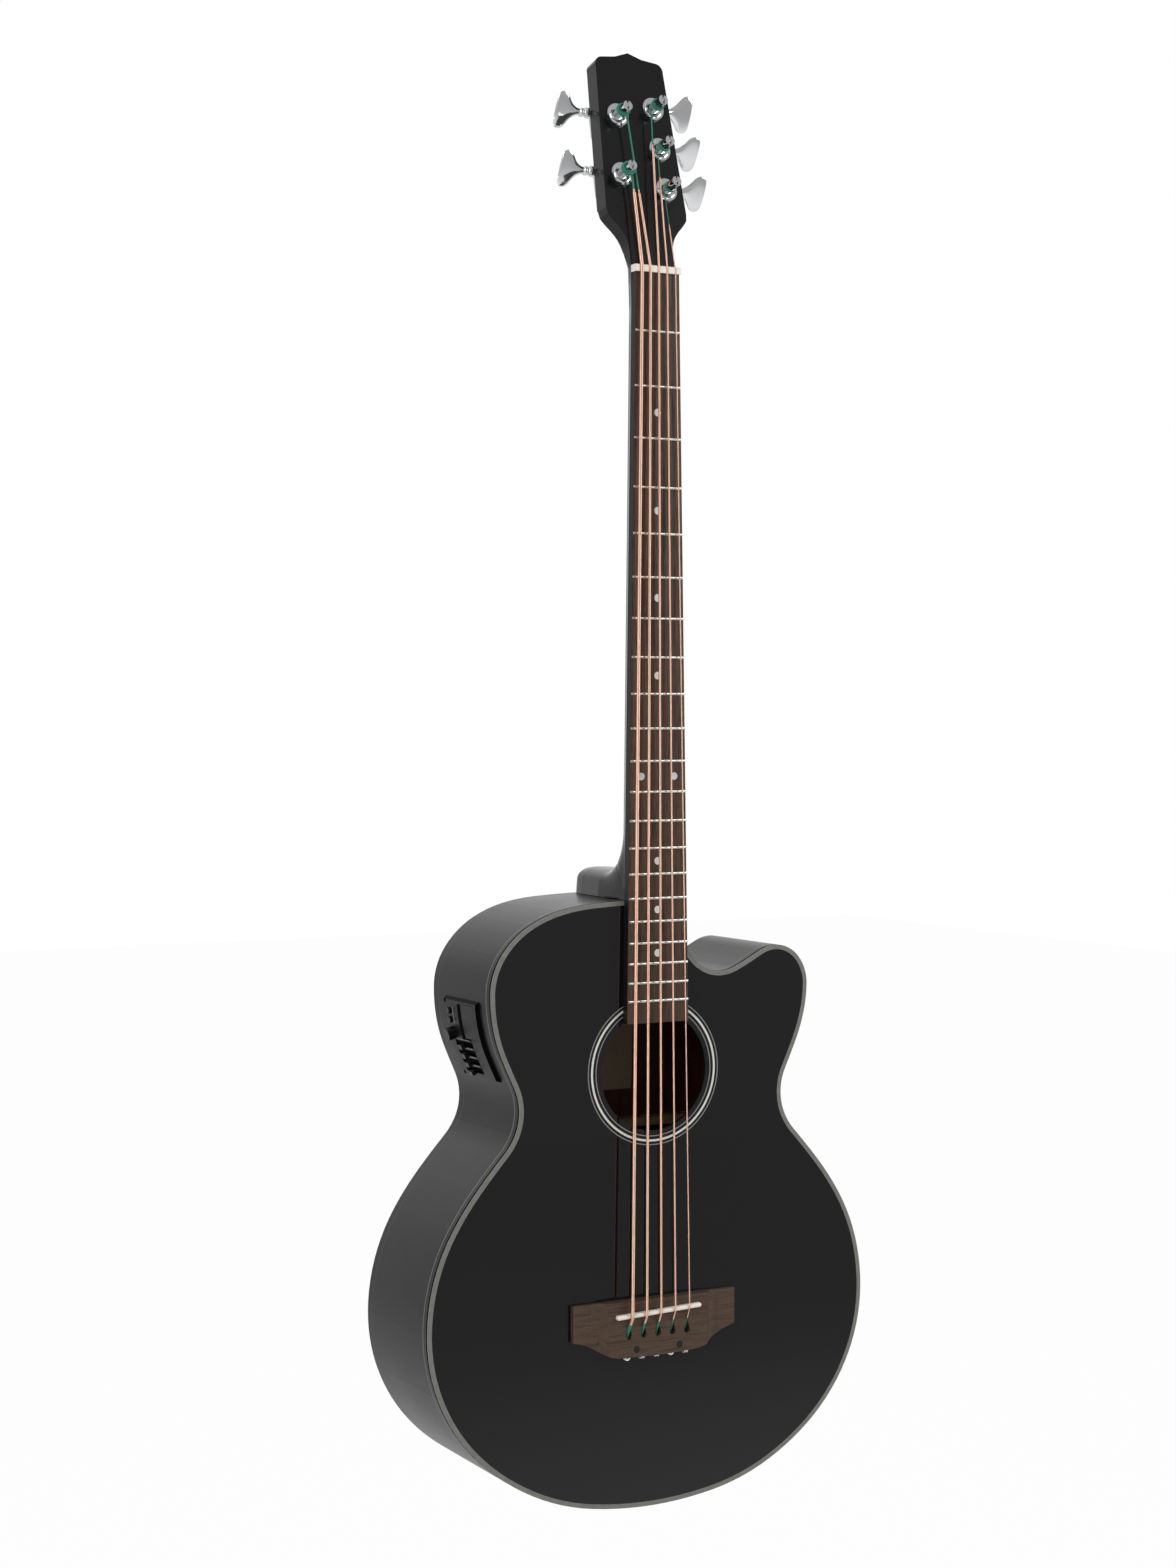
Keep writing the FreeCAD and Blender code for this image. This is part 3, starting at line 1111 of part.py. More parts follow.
def panel_blank():
    """The raised panel: it follows the side, with all four outer edges sloped."""
    spine = []
    for start, end in ARCS[NECK_CORNER:]:
        if start[1] > PANEL_LOW - FLANGE and end[1] < PANEL_HIGH + FLANGE:
            spine.append((start, end))
    first = spine[0][0]
    left = turn_left(first[2])
    out = V(-left[0], 0, -left[1])
    base = at(first[0], PANEL_FRONT, first[1])
    wide = PANEL_BACK - PANEL_FRONT
    corners = []
    for lift, across in ((0, 0), (0, wide), (PANEL_THICK, wide - PANEL_BEVEL), (PANEL_THICK, PANEL_BEVEL), (0, 0)):
        corners.append(base + out * lift + V(0, across, 0))
    wire = Part.Wire([arc_edge(start, end, 0, PANEL_FRONT) for start, end in spine])
    blank = wire.makePipeShell([Part.makePolygon(corners)], True, False)
    blank = blank.common(box(-HALF_WIDTH, 0, 0, FULL, PANEL_LOW, PANEL_HIGH))
    for z, sign in ((PANEL_HIGH, 1), (PANEL_LOW, -1)):
        foot, across, along, out = side_frame(z, PANEL_FRONT - OVER)
        slope = [foot, foot + out * OVER - along * (sign * OVER * PANEL_BEVEL / PANEL_THICK), foot + out * OVER + along * (sign * OVER), foot]
        blank = blank.cut(Part.Face(Part.makePolygon(slope)).extrude(across * FULL))
    return blank


def make_preamp():
    far = -HALF_WIDTH
    skin = region(-PANEL_THICK, PANEL_FRONT, PANEL_BACK).cut(region(0, 0, FULL))
    skin = skin.common(box(far, 0, 0, FULL, PANEL_LOW, PANEL_HIGH))
    panel = panel_blank()
    door = box(far, 0, DOOR_FRONT - LOOSE, DOOR_BACK + LOOSE, DOOR_LOW - LOOSE, DOOR_HIGH + LOOSE)
    face = skin.common(box(far, 0, DOOR_FRONT, DOOR_BACK, DOOR_LOW, DOOR_HIGH)).cut(region(-LOOSE, 0, FULL))
    panel = panel.cut(door)
    inner_x = side_at(PANEL_LOW)[0] + HOUSE_DEEP
    house = region(0, PANEL_FRONT + FLANGE + SLIP, PANEL_BACK - FLANGE - SLIP)
    house = house.common(box(far, inner_x, 0, FULL, PANEL_LOW + FLANGE + SLIP, PANEL_HIGH - FLANGE - SLIP))
    tray_in = side_at(DOOR_LOW)[0] + TRAY_LONG
    bay = box(far, tray_in + LOOSE, DOOR_FRONT + TRAY_WALL - LOOSE, DOOR_BACK - TRAY_WALL + LOOSE,
              DOOR_LOW + TRAY_WALL - LOOSE, DOOR_HIGH - TRAY_WALL + LOOSE)
    house = house.cut(bay)
    for n, z in enumerate(SLIDER_Z):
        panel = panel.cut(side_box(z, SLOT_MID, SLOT_LONG, SLOT_WIDE, -OVER, OVER))
        well = side_box(z, SLOT_MID, SLOT_LONG + 2, SLIDER_CAP[1] + 2 * LOOSE, -SLIDER_SUNK - 2 * LOOSE, PANEL_THICK / 2)
        house = house.cut(well)
        cap = side_box(z, SLOT_MID, SLIDER_CAP[0], SLIDER_CAP[1], PANEL_THICK + CAP_LIFT, PANEL_THICK + CAP_LIFT + SLIDER_CAP[2])
        stem = side_box(z, SLOT_MID, SLIDER_STEM[0], SLIDER_STEM[1], -SLIDER_SUNK, PANEL_THICK + CAP_LIFT + 1)
        foot = side_box(z, SLOT_MID, SLIDER_CAP[0], SLIDER_CAP[1], -SLIDER_SUNK, -2.0)
        keep("eq_slider_%d" % (n + 1), cap.fuse([stem, foot]).removeSplitter())
    panel = panel.cut(side_pin(KNOB_Z, KNOB_DEPTH, KNOB_SHAFT + SLIP, -OVER, OVER))
    house = house.cut(side_pin(KNOB_Z, KNOB_DEPTH, KNOB_SHAFT + SLIP, -2 * KNOB_TALL, OVER))
    knob = side_pin(KNOB_Z, KNOB_DEPTH, KNOB_RADIUS, PANEL_THICK + CAP_LIFT, PANEL_THICK + CAP_LIFT + KNOB_TALL)
    knob = knob.fuse(side_pin(KNOB_Z, KNOB_DEPTH, KNOB_SHAFT, -KNOB_TALL, PANEL_THICK + KNOB_TALL / 2)).removeSplitter()
    keep("volume_knob", knob)
    for n, z in enumerate(BUTTON_Z):
        panel = panel.cut(side_pin(z, BUTTON_DEPTH, BUTTON_RADIUS + LOOSE, -OVER, OVER))
        house = house.cut(side_pin(z, BUTTON_DEPTH, BUTTON_RADIUS + LOOSE, -KNOB_TALL, OVER))
        keep("preamp_button_%d" % (n + 1), side_pin(z, BUTTON_DEPTH, BUTTON_RADIUS, -KNOB_TALL + BUTTON_TRAVEL + LOOSE, PANEL_THICK + BUTTON_TALL))
    screws = []
    rim_in = 2 * SCREW_RADIUS
    for z in (PANEL_LOW + rim_in, PANEL_HIGH - rim_in):
        screws.append(side_pin(z, PANEL_BACK - rim_in, SCREW_RADIUS, PANEL_THICK * 0.5, PANEL_THICK * 1.05))
    panel = panel.cut(screws)
    keep("preamp_panel", panel)
    keep("preamp_screws", group(screws))
    keep("preamp_housing", house)
    cover_in = side_at(DOOR_LOW)[0]
    tray = box(far, tray_in, DOOR_FRONT + TRAY_WALL, DOOR_BACK - TRAY_WALL, DOOR_LOW + TRAY_WALL, DOOR_HIGH - TRAY_WALL)
    tray = tray.common(region(-PANEL_THICK / 2, 0, FULL))
    cell_x = cover_in + 1.5
    hollow = box(cell_x, tray_in - TRAY_WALL, DOOR_FRONT + 2 * TRAY_WALL, DOOR_BACK + OVER, DOOR_LOW + 2 * TRAY_WALL, DOOR_HIGH - 2 * TRAY_WALL)
    tray = tray.cut(hollow)
    keep("battery_drawer", face.fuse(tray).removeSplitter())
    gap = LOOSE
    keep("battery", box(cell_x + gap, tray_in - TRAY_WALL - gap, DOOR_FRONT + 2 * TRAY_WALL + SLIP, DOOR_BACK - TRAY_WALL,
                        DOOR_LOW + 2 * TRAY_WALL + SLIP, DOOR_HIGH - 2 * TRAY_WALL - SLIP))


def make_jack():
    flange = Part.makeCylinder(JACK_FLANGE, JACK_FLANGE_TALL, at(0, JACK_DEPTH, 0), V(0, 0, -1))
    waist = Part.makeCylinder(JACK_NECK, JACK_OUT, at(0, JACK_DEPTH, 0), V(0, 0, -1))
    cap = Part.makeCylinder(JACK_FLANGE, JACK_FLANGE_TALL, at(0, JACK_DEPTH, JACK_FLANGE_TALL - JACK_OUT), V(0, 0, -1))
    barrel = Part.makeCylinder(JACK_BODY, JACK_LONG, at(0, JACK_DEPTH, 0), V(0, 0, 1))
    bore = Part.makeCylinder(JACK_BORE, JACK_LONG - 2 + JACK_OUT + OVER, at(0, JACK_DEPTH, JACK_LONG - 2), V(0, 0, -1))
    keep("end_jack", flange.fuse([waist, cap, barrel]).removeSplitter().cut(bore))


make_top()
make_back()
make_sides()
make_blocks()
make_linings()
make_braces()
make_neck()
make_fingerboard()
make_nut()
make_bridge()
make_strings()
make_tuners()
make_preamp()
make_jack()

os.makedirs("parts", exist_ok=True)
for name in sorted(SHAPES):
    shape = SHAPES[name]
    if not shape.isValid() or not shape.Solids:
        print("CHECK", name, shape.isValid(), len(shape.Solids))
    print(name, len(shape.Solids), "solids", round(shape.Volume), "mm3")
    shape.exportStep("parts/%s.step" % name)
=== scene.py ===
# %% [markdown]
# An acoustic bass guitar
#
# The solids of the guitar are already modelled. This lesson gives them their finishes,
# adds the small pieces that only a close look shows, and sets up the studio.

# %% Load the frame
import json
import math

import bpy
from mathutils import Matrix, Vector


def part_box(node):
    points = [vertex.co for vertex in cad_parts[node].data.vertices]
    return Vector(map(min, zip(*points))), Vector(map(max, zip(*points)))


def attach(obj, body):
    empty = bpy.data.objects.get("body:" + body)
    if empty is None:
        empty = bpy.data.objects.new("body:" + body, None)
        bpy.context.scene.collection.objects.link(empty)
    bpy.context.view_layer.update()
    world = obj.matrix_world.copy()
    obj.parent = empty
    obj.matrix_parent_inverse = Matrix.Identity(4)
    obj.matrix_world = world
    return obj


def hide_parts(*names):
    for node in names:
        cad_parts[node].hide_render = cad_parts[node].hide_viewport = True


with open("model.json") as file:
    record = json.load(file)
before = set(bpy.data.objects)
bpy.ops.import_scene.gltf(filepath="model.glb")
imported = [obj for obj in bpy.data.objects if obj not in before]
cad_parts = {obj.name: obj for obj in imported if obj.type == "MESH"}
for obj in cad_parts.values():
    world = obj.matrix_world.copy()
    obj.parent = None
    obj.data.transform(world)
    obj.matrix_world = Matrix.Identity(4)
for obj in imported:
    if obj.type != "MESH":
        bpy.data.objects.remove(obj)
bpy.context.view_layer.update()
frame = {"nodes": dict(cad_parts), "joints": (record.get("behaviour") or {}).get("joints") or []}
nodes = frame["nodes"]
joints = {joint["name"]: joint for joint in frame["joints"]}
print("nodes:", len(nodes), "joints:", len(joints))

# %% [markdown]
# Every length below is in metres. The origin is the seat of the end jack in the middle of
# the tail, +Z runs up the neck, and the front of the top faces -Y. The depth of a point is
# its distance behind the front of the soundboard, which is y plus the depth of the jack.

# %% The depth of the origin
JACK_DEPTH = 0.062
print("the soundboard's front is at y =", -JACK_DEPTH)

# %% [markdown]
# A pattern such as wood grain is arithmetic on coordinates. Typing each Math node by hand
# hides the formula, so a small class wraps a socket and lets Python's own operators add
# the nodes. The formula then reads like a formula.


# %% A socket that does arithmetic
class Number:
    """A socket with a number in it. An expression on it adds Math nodes."""

    def __init__(self, maker, socket):
        self.maker = maker
        self.socket = socket

    def maths(self, operation, *others):
        values = [self] + list(others)
        return self.maker.maths(operation, *values)

    def __add__(self, other):
        return self.maths("ADD", other)

    __radd__ = __add__

    def __mul__(self, other):
        return self.maths("MULTIPLY", other)

    __rmul__ = __mul__

    def __sub__(self, other):
        return self.maths("SUBTRACT", other)

    def __rsub__(self, other):
        return self.maker.maths("SUBTRACT", other, self)

    def __gt__(self, other):
        return self.maths("GREATER_THAN", other)

    def __lt__(self, other):
        return self.maths("LESS_THAN", other)

    def __abs__(self):
        return self.maths("ABSOLUTE")


# %% [markdown]
# Every finish of the guitar is one material, and all of them need the same few steps: add a
# node, link it, read where a point lies or which way it faces. They could be repeated for
# each finish. One class holds them instead, so that a finish takes only a few lines.


# %% A maker of materials
class Maker:
    """One material and its nodes. The Principled shader is there from the start."""

    def __init__(self, name, **finish):
        self.material = bpy.data.materials.new(name)
        self.material.use_nodes = True
        self.tree = self.material.node_tree
        self.shader = self.tree.nodes["Principled BSDF"]
        for socket, value in finish.items():
            self.shader.inputs[socket.replace("_", " ")].default_value = value

    def node(self, kind, settings=(), values=()):
        """Adds a node: first its settings, then a value or a link for each socket."""
        node = self.tree.nodes.new(kind)
        for name, value in dict(settings).items():
            setattr(node, name, value)
        for name, value in dict(values).items():
            self.feed(node.inputs[name], value)
        return node

    def feed(self, socket, value):
        """Links a socket to another one, or sets its value."""
        if isinstance(value, Number):
            value = value.socket
        if isinstance(value, bpy.types.NodeSocket):
            self.tree.links.new(value, socket)
        else:
            socket.default_value = value

    def set(self, socket, value):
        self.feed(self.shader.inputs[socket], value)

    def maths(self, operation, *values):
        node = self.node("ShaderNodeMath", {"operation": operation}, dict(enumerate(values)))
        return Number(self, node.outputs[0])

    def mix(self, factor, first, second):
        """A colour between two colours."""
        values = {0: factor, 6: first, 7: second}
        node = self.node("ShaderNodeMix", {"data_type": "RGBA"}, values)
        return node.outputs[2]

    def split(self, vector):
        """The three parts of a vector as numbers."""
        node = self.node("ShaderNodeSeparateXYZ", {}, {0: vector})
        return [Number(self, node.outputs[axis]) for axis in range(3)]

    def places(self):
        """Object coordinates as a vector and as three numbers."""
        vector = self.node("ShaderNodeTexCoord").outputs["Object"]
        return vector, self.split(vector)

    def facing(self):
        """The direction that the surface faces, as three numbers."""
        return self.split(self.node("ShaderNodeNewGeometry").outputs["Normal"])

    def rays(self):
        """Two masks: seen by the camera itself, and seen in a mirror or through glass."""
        path = self.node("ShaderNodeLightPath")
        direct = Number(self, path.outputs["Is Camera Ray"])
        glossy = Number(self, path.outputs["Is Glossy Ray"])
        through = Number(self, path.outputs["Is Transmission Ray"])
        return direct, glossy.maths("MAXIMUM", through)

    def stretched(self, vector, scale):
        node = self.node("ShaderNodeMapping", {}, {"Vector": vector, "Scale": scale})
        return node.outputs[0]

    def noise(self, vector, scale, detail=3.0, roughness=0.55, distortion=0.0):
        values = {
            "Vector": vector,
            "Scale": scale,
            "Detail": detail,
            "Roughness": roughness,
            "Distortion": distortion,
        }
        node = self.node("ShaderNodeTexNoise", {}, values)
        return Number(self, node.outputs[0])

    def ramp(self, value, stops):
        """A soft or hard change of colour over a number."""
        node = self.node("ShaderNodeValToRGB")
        elements = node.color_ramp.elements
        while len(elements) < len(stops):
            elements.new(0.5)
        for element, (place, colour) in zip(elements, stops):
            element.position = place
            element.color = colour
        self.feed(node.inputs[0], value)
        return node.outputs[0]

    def between(self, value, low, high):
        """Turns low..high into 0..1, held at both ends."""
        values = {"Value": value, "From Min": low, "From Max": high}
        node = self.node("ShaderNodeMapRange", {}, values)
        return Number(self, node.outputs[0])

    def bump(self, height, distance, strength=1.0):
        values = {"Height": height, "Distance": distance, "Strength": strength}
        node = self.node("ShaderNodeBump", {}, values)
        self.set("Normal", node.outputs[0])

    def skin(self, scale, height, detail=3.0):
        """A fine unevenness all over, so that no surface is perfect."""
        vector, _ = self.places()
        self.bump(self.noise(vector, scale, detail=detail), height)

    def cover(self, share, kind, values):
        """Lays another kind of shader over a share of this one."""
        over = self.node(kind, {}, values)
        both = {0: share, 1: self.shader.outputs[0], 2: over.outputs[0]}
        blend = self.node("ShaderNodeMixShader", {}, both)
        output = self.tree.nodes["Material Output"]
        self.tree.links.new(blend.outputs[0], output.inputs["Surface"])


FINE_SKIN = 0.00001
SOFT_SKIN = 0.00002


def grey(value):
    return (value, value, value, 1.0)


def dress(maker, *names):
    """Gives a finish to CAD nodes."""
    for name in names:
        for slot in nodes[name].material_slots:
            slot.material = maker.material
    print(maker.material.name, "on", len(names), "nodes")


# %% [markdown]
# The top is sprayed with many coats of black lacquer and buffed until it mirrors the
# strings. That could be a clear coat over a colour, but a near black colour with a smooth
# surface looks the same and is one layer less. A very faint waviness keeps the mirror from
# looking like glass. The sides and the neck have the same lacquer, buffed less, so that the
# light spreads over them as a soft grey.

# %% Black lacquer
LACQUER_BLACK = (0.0042, 0.0042, 0.0046, 1.0)
CLOUD_SCALE = 9.0
CLOUD_SHARE = 0.5
WAVE_SCALE = 55.0
# The lacquers: name, roughness, height of the waves, index of refraction, nodes.
LACQUERS = [
    ("top lacquer", 0.035, 0.00002, 1.46, ["soundboard"]),
    ("side lacquer", 0.30, 0.00006, 1.38, ["side_bass", "side_treble"]),
    ("neck lacquer", 0.17, 0.00003, 1.40, ["neck", "heel_cap"]),
]


def lacquer(name, roughness, wave, gloss):
    """Black lacquer with its roughness, the height of its waves and its refraction."""
    maker = Maker(name, Base_Color=LACQUER_BLACK, IOR=gloss)
    vector, _ = maker.places()
    cloud = maker.noise(vector, CLOUD_SCALE)
    maker.set("Roughness", roughness + (cloud - 0.5) * (CLOUD_SHARE * roughness))
    maker.skin(WAVE_SCALE, wave, detail=1.0)
    return maker


for name, roughness, wave, gloss, pieces in LACQUERS:
    dress(lacquer(name, roughness, wave, gloss), *pieces)

# %% [markdown]
# The edge of the body is bound in black plastic, with a grey band on top and a thin light
# line down the side. The bindings are one solid, so the matt black line beside the band is
# picked out by its depth and not by a piece of its own. The band is laminated from thin
# plies, so it carries faint streaks that run with the edge: a noise that is squeezed most
# in depth gives them.

# %% Bindings and edge bands
EDGE_LINE_DEPTH = 0.0021
EDGE_LINE_HALF = 0.0011
BACK_EDGE_DEPTH = 0.04
PLY_SQUEEZE = (60.0, 200.0, 60.0)
PLY_DARK = (0.115, 0.114, 0.104, 1.0)
PLY_LIGHT = (0.215, 0.212, 0.192, 1.0)

black_binding = Maker("black binding", Base_Color=grey(0.0042), IOR=1.38, Roughness=0.3)
black_binding.skin(120.0, FINE_SKIN)
vector, (x, y, z) = black_binding.places()
edge_line = abs(y + JACK_DEPTH - EDGE_LINE_DEPTH) < EDGE_LINE_HALF
black_binding.cover(edge_line, "ShaderNodeBsdfDiffuse", {"Color": grey(0.006)})
dress(black_binding, "bindings")

grey_plies = Maker("grey plies", Roughness=0.4)
vector, (x, y, z) = grey_plies.places()
streaks = grey_plies.noise(grey_plies.stretched(vector, PLY_SQUEEZE), 4.0, detail=4.0)
band = grey_plies.mix(streaks, PLY_DARK, PLY_LIGHT)
at_back = (y + JACK_DEPTH) > BACK_EDGE_DEPTH
grey_plies.set("Base Color", grey_plies.mix(at_back, band, grey(0.03)))
dress(grey_plies, "purflings")

# %% [markdown]
# The rings round the soundhole are inlaid strips: a white one between two fine grey lines.
# An image would need to be painted and wrapped. The rings are round, so the distance from
# the middle of the hole picks the colour, sharp at any size. The dots of the fingerboard
# are pearly plastic, a cloud of two pale tones.

# %% Rosette and dots
HOLE_Z = 0.3681
WHITE_RING_RADIUS = 0.059
WHITE_RING_HALF = 0.00078
RING_WHITE = (0.72, 0.72, 0.63, 1.0)
PEARL_DARK = (0.55, 0.55, 0.53, 1.0)
PEARL_LIGHT = (0.86, 0.86, 0.84, 1.0)

rosette = Maker("rosette rings", Roughness=0.25)
vector, (x, y, z) = rosette.places()
up = z - HOLE_Z
radius = (x * x + up * up).maths("SQRT")
white_ring = abs(radius - WHITE_RING_RADIUS) < WHITE_RING_HALF
rosette.set("Base Color", rosette.mix(white_ring, grey(0.24), RING_WHITE))
dress(rosette, "rosette")

dots = Maker("dot inlays", Roughness=0.2)
vector, _ = dots.places()
cloud = dots.noise(vector, 400.0)
dots.set("Base Color", dots.mix(cloud, PEARL_DARK, PEARL_LIGHT))
dress(dots, "position_dots")

# %% [markdown]
# Rosewood shows long dark pores and brown bands that run with the grain. A photograph of
# wood would end at its edges; a noise has none. The coordinates are squeezed along the
# grain before the noise is read, so that each blotch becomes a streak. The edges of the
# fingerboard are lacquered black with the neck, which the direction of the face tells.

# %% Grained wood
X_AXIS = 0
Z_AXIS = 2
GRAIN_SHARE = 0.045
BAND_SCALE = 260.0
PORE_SCALE = 1400.0
PORE_BROWN = (0.012, 0.007, 0.005, 1.0)
PORE_DEPTH = 0.00006
FLANK = 0.7


def grained_wood(name, along, light, dark, pore_depth=PORE_DEPTH):
    """Wood whose grain runs along one axis, and the colour that it has there."""
    maker = Maker(name)
    vector, _ = maker.places()
    scale = [1.0, 1.0, 1.0]
    scale[along] = GRAIN_SHARE
    grain = maker.stretched(vector, scale)
    bands = maker.noise(grain, BAND_SCALE, detail=5.0, roughness=0.7, distortion=0.6)
    colour = maker.ramp(bands, [(0.30, dark), (0.52, light), (0.70, dark)])
    pore = maker.between(maker.noise(grain, PORE_SCALE, detail=2.0), 0.60, 0.68)
    colour = maker.mix(pore * 0.7, colour, PORE_BROWN)
    maker.set("Roughness", 0.42 + pore * 0.25)
    if pore_depth:
        maker.bump(1.0 - pore, pore_depth)
    return maker, colour


board_wood, board_colour = grained_wood(
    "fingerboard rosewood", Z_AXIS, (0.085, 0.046, 0.028, 1.0), (0.017, 0.010, 0.007, 1.0))
board_wood.set("IOR", 1.36)
flank = abs(board_wood.facing()[0]) > FLANK
board_wood.set("Base Color", board_wood.mix(flank, board_colour, grey(0.006)))
dress(board_wood, "fingerboard")

bridge_wood, bridge_colour = grained_wood(
    "bridge rosewood", X_AXIS, (0.084, 0.050, 0.031, 1.0), (0.032, 0.019, 0.012, 1.0))
bridge_wood.set("IOR", 1.38)
bridge_wood.set("Base Color", bridge_colour)
dress(bridge_wood, "bridge")

# %% [markdown]
# The nut and the saddle are moulded in a pale cream plastic. Light that travels inside it
# would cost much time and show little at this size, so a plain colour with a soft sheen
# and a fine skin is enough.

# %% Nut and saddle
CREAM = (0.84, 0.78, 0.69, 1.0)

cream = Maker("cream plastic", Base_Color=CREAM, Roughness=0.32)
cream.skin(300.0, SOFT_SKIN)
dress(cream, "nut", "saddle")

# %% [markdown]
# Metal takes its look from what it mirrors, so it only needs a tint, a polish and the
# fine scratches of use. Chrome is almost perfectly smooth; the nickel silver of the frets
# is polished along each fret, across the neck.

# %% Metals
SCRATCH_SCALE = 900.0
CHROME = (0.84, 0.85, 0.86, 1.0)
NICKEL_SILVER = (0.70, 0.69, 0.64, 1.0)
ALONG_FRETS = (0.1, 1.0, 1.0)


def metal(name, colour, roughness, scratch=(1.0, 1.0, 1.0)):
    """A polished metal whose roughness changes a little with its scratches."""
    maker = Maker(name, Base_Color=colour, Metallic=1.0)
    vector, _ = maker.places()
    marks = maker.noise(maker.stretched(vector, scratch), SCRATCH_SCALE, detail=2.0)
    maker.set("Roughness", roughness * (0.7 + marks * 0.6))
    return maker


chrome = metal("chrome", CHROME, 0.06)
nickel = metal("nickel silver", NICKEL_SILVER, 0.22, ALONG_FRETS)
steel = metal("plain steel", grey(0.45), 0.35)
tuner_parts = ["tuner_bushings", "tuner_housings", "tuner_screws"]
for number in range(1, 6):
    tuner_parts += ["tuner_key_%d" % number, "tuner_post_%d" % number]
dress(chrome, "end_jack", "strap_button", *tuner_parts)
dress(nickel, "frets")
dress(steel, "neck_bolts", "bridge_bolts", "truss_rod")

# %% [markdown]
# Bass strings are wound with bronze wire, and wrapped in coloured silk where they end. The
# windings could be modelled, but they are too fine to count, so rings in the bump stand
# for the turns of the wire. Height along the string tells bronze from silk: the silk starts
# below the saddle, and again on the headstock, at another distance for each string.

# %% Strings
NUT_Z = 1.0349
NUT_LONG = 0.006
HEAD_Z = NUT_Z + NUT_LONG
HEAD_TILT = math.radians(13.2)
WIRE_PITCH = 0.0006
WIRE_HEIGHT = 0.00006
SILK_LOW_Z = 0.1585
BALL_LOW_Z = 0.1335
SILK_START = 0.064
THIRD_SILK_MOVE = 0.043
FOURTH_SILK_MOVE = -0.029
FIFTH_SILK_MOVE = -0.042
FOURTH_GAP_X = 0.005
FOURTH_GAP_LEAN = 0.062
FIFTH_GAP_X = 0.0123
FIFTH_GAP_LEAN = 0.025
# Each row moves the start of the silk for one string and for all higher ones: the lean of
# the gap before that string, the gap's x at the nut, and the move along the headstock.
SILK_MOVES = [
    (0.0, 0.0, THIRD_SILK_MOVE),
    (FOURTH_GAP_LEAN, FOURTH_GAP_X, FOURTH_SILK_MOVE),
    (FIFTH_GAP_LEAN, FIFTH_GAP_X, FIFTH_SILK_MOVE),
]
COPPER = (0.84, 0.52, 0.385, 1.0)
TEAL = (0.022, 0.20, 0.135, 1.0)
BALL_CREAM = (0.92, 0.90, 0.84, 1.0)

wound = Maker("wound strings")
vector, (x, y, z) = wound.places()
along = (z - HEAD_Z) * math.cos(HEAD_TILT) + (y + JACK_DEPTH) * math.sin(HEAD_TILT)
silk_start = SILK_START
for lean, gap_x, move in SILK_MOVES:
    higher = (x - along * lean) > gap_x
    silk_start = higher * move + silk_start
silk = (along > silk_start).maths("MAXIMUM", z < SILK_LOW_Z)
ball = z < BALL_LOW_Z
wound.set("Base Color", wound.mix(ball, wound.mix(silk, COPPER, TEAL), BALL_CREAM))
wound.set("Metallic", 1.0 - silk * 0.9 + ball * 0.9)
wound.set("Roughness", 0.30 + silk * 0.35)
wire = (z * (2.0 * math.pi / WIRE_PITCH)).maths("SINE")
wound.bump(wire, WIRE_HEIGHT, 0.6)
dress(wound, "strings")

# %% [markdown]
# Each string ends in two turns round its post, wrapped in silk. A bevelled curve could
# follow the path, but a coil is what the Screw modifier makes: it carries a circle, the
# section of the wrapped end, round and up. The turns are made upright at the origin and are
# then laid on the tilted headstock, at the joint that turns the post, so that they turn
# with it.

# %% Silk and the helpers for the headstock
STRAND_HEIGHT = 0.0001
SILK_DARK = (0.010, 0.12, 0.08, 1.0)
SILK_LIGHT = (0.04, 0.30, 0.21, 1.0)

silk_thread = Maker("silk wrapping", Roughness=0.7, Metallic=0.05)
vector, _ = silk_thread.places()
strand = silk_thread.noise(vector, 2200.0)
silk_thread.set("Base Color", silk_thread.mix(strand, SILK_DARK, SILK_LIGHT))
silk_thread.bump(strand, STRAND_HEIGHT)


def free_selection():
    """Leaves edit mode and selects nothing."""
    if bpy.context.object and bpy.context.object.mode != "OBJECT":
        bpy.ops.object.mode_set(mode="OBJECT")
    bpy.ops.object.select_all(action="DESELECT")


def place_mesh():
    """Moves the place, turn and size of the active object into its mesh."""
    bpy.ops.object.transform_apply(location=True, rotation=True, scale=True)


def lay_on_head(piece, place):
    """Moves a piece from the upright origin to a place on the tilted headstock."""
    along = Vector((0.0, math.sin(HEAD_TILT), math.cos(HEAD_TILT)))
    up = Vector((0.0, -math.cos(HEAD_TILT), math.sin(HEAD_TILT)))
    turn = Matrix((Vector((1.0, 0.0, 0.0)), along, up)).transposed()
    piece.matrix_world = Matrix.Translation(place) @ turn.to_4x4()
    place_mesh()


def cap_ends(piece):
    """Closes the open rings of a tube."""
    bpy.ops.object.mode_set(mode="EDIT")
    bpy.ops.mesh.select_mode(type="EDGE")
    bpy.ops.mesh.select_all(action="DESELECT")
    bpy.ops.mesh.select_non_manifold()
    bpy.ops.mesh.fill_holes(sides=0)
    bpy.ops.mesh.select_all(action="SELECT")
    bpy.ops.mesh.normals_make_consistent(inside=False)
    bpy.ops.object.mode_set(mode="OBJECT")
    print(piece.name, "faces:", len(piece.data.polygons))


# %% [markdown]
# The lowest string is the thickest, and its silk end is thinner than the string itself, as
# the wire is left off there. The turns of the two sides wind in opposite senses, so that
# every string leaves its post on the inner side.

# %% Turns round the posts
STRING_RADII = [0.0015, 0.0012, 0.0010, 0.0008, 0.00055]
SILK_SHARE = 0.62
POST_RADIUS = 0.0043
POST_CLEARANCE = 0.00005
BUSHING_TALL = 0.0046
FIRST_TURN_RADII = 6.0
BUSHING_CLEARANCE = 0.0003
WIND_GAP = 0.0005
TURNS = 2
TURN_STEPS = 32
SILK_SIDES = 12
SILK_SMOOTH = math.radians(60.0)

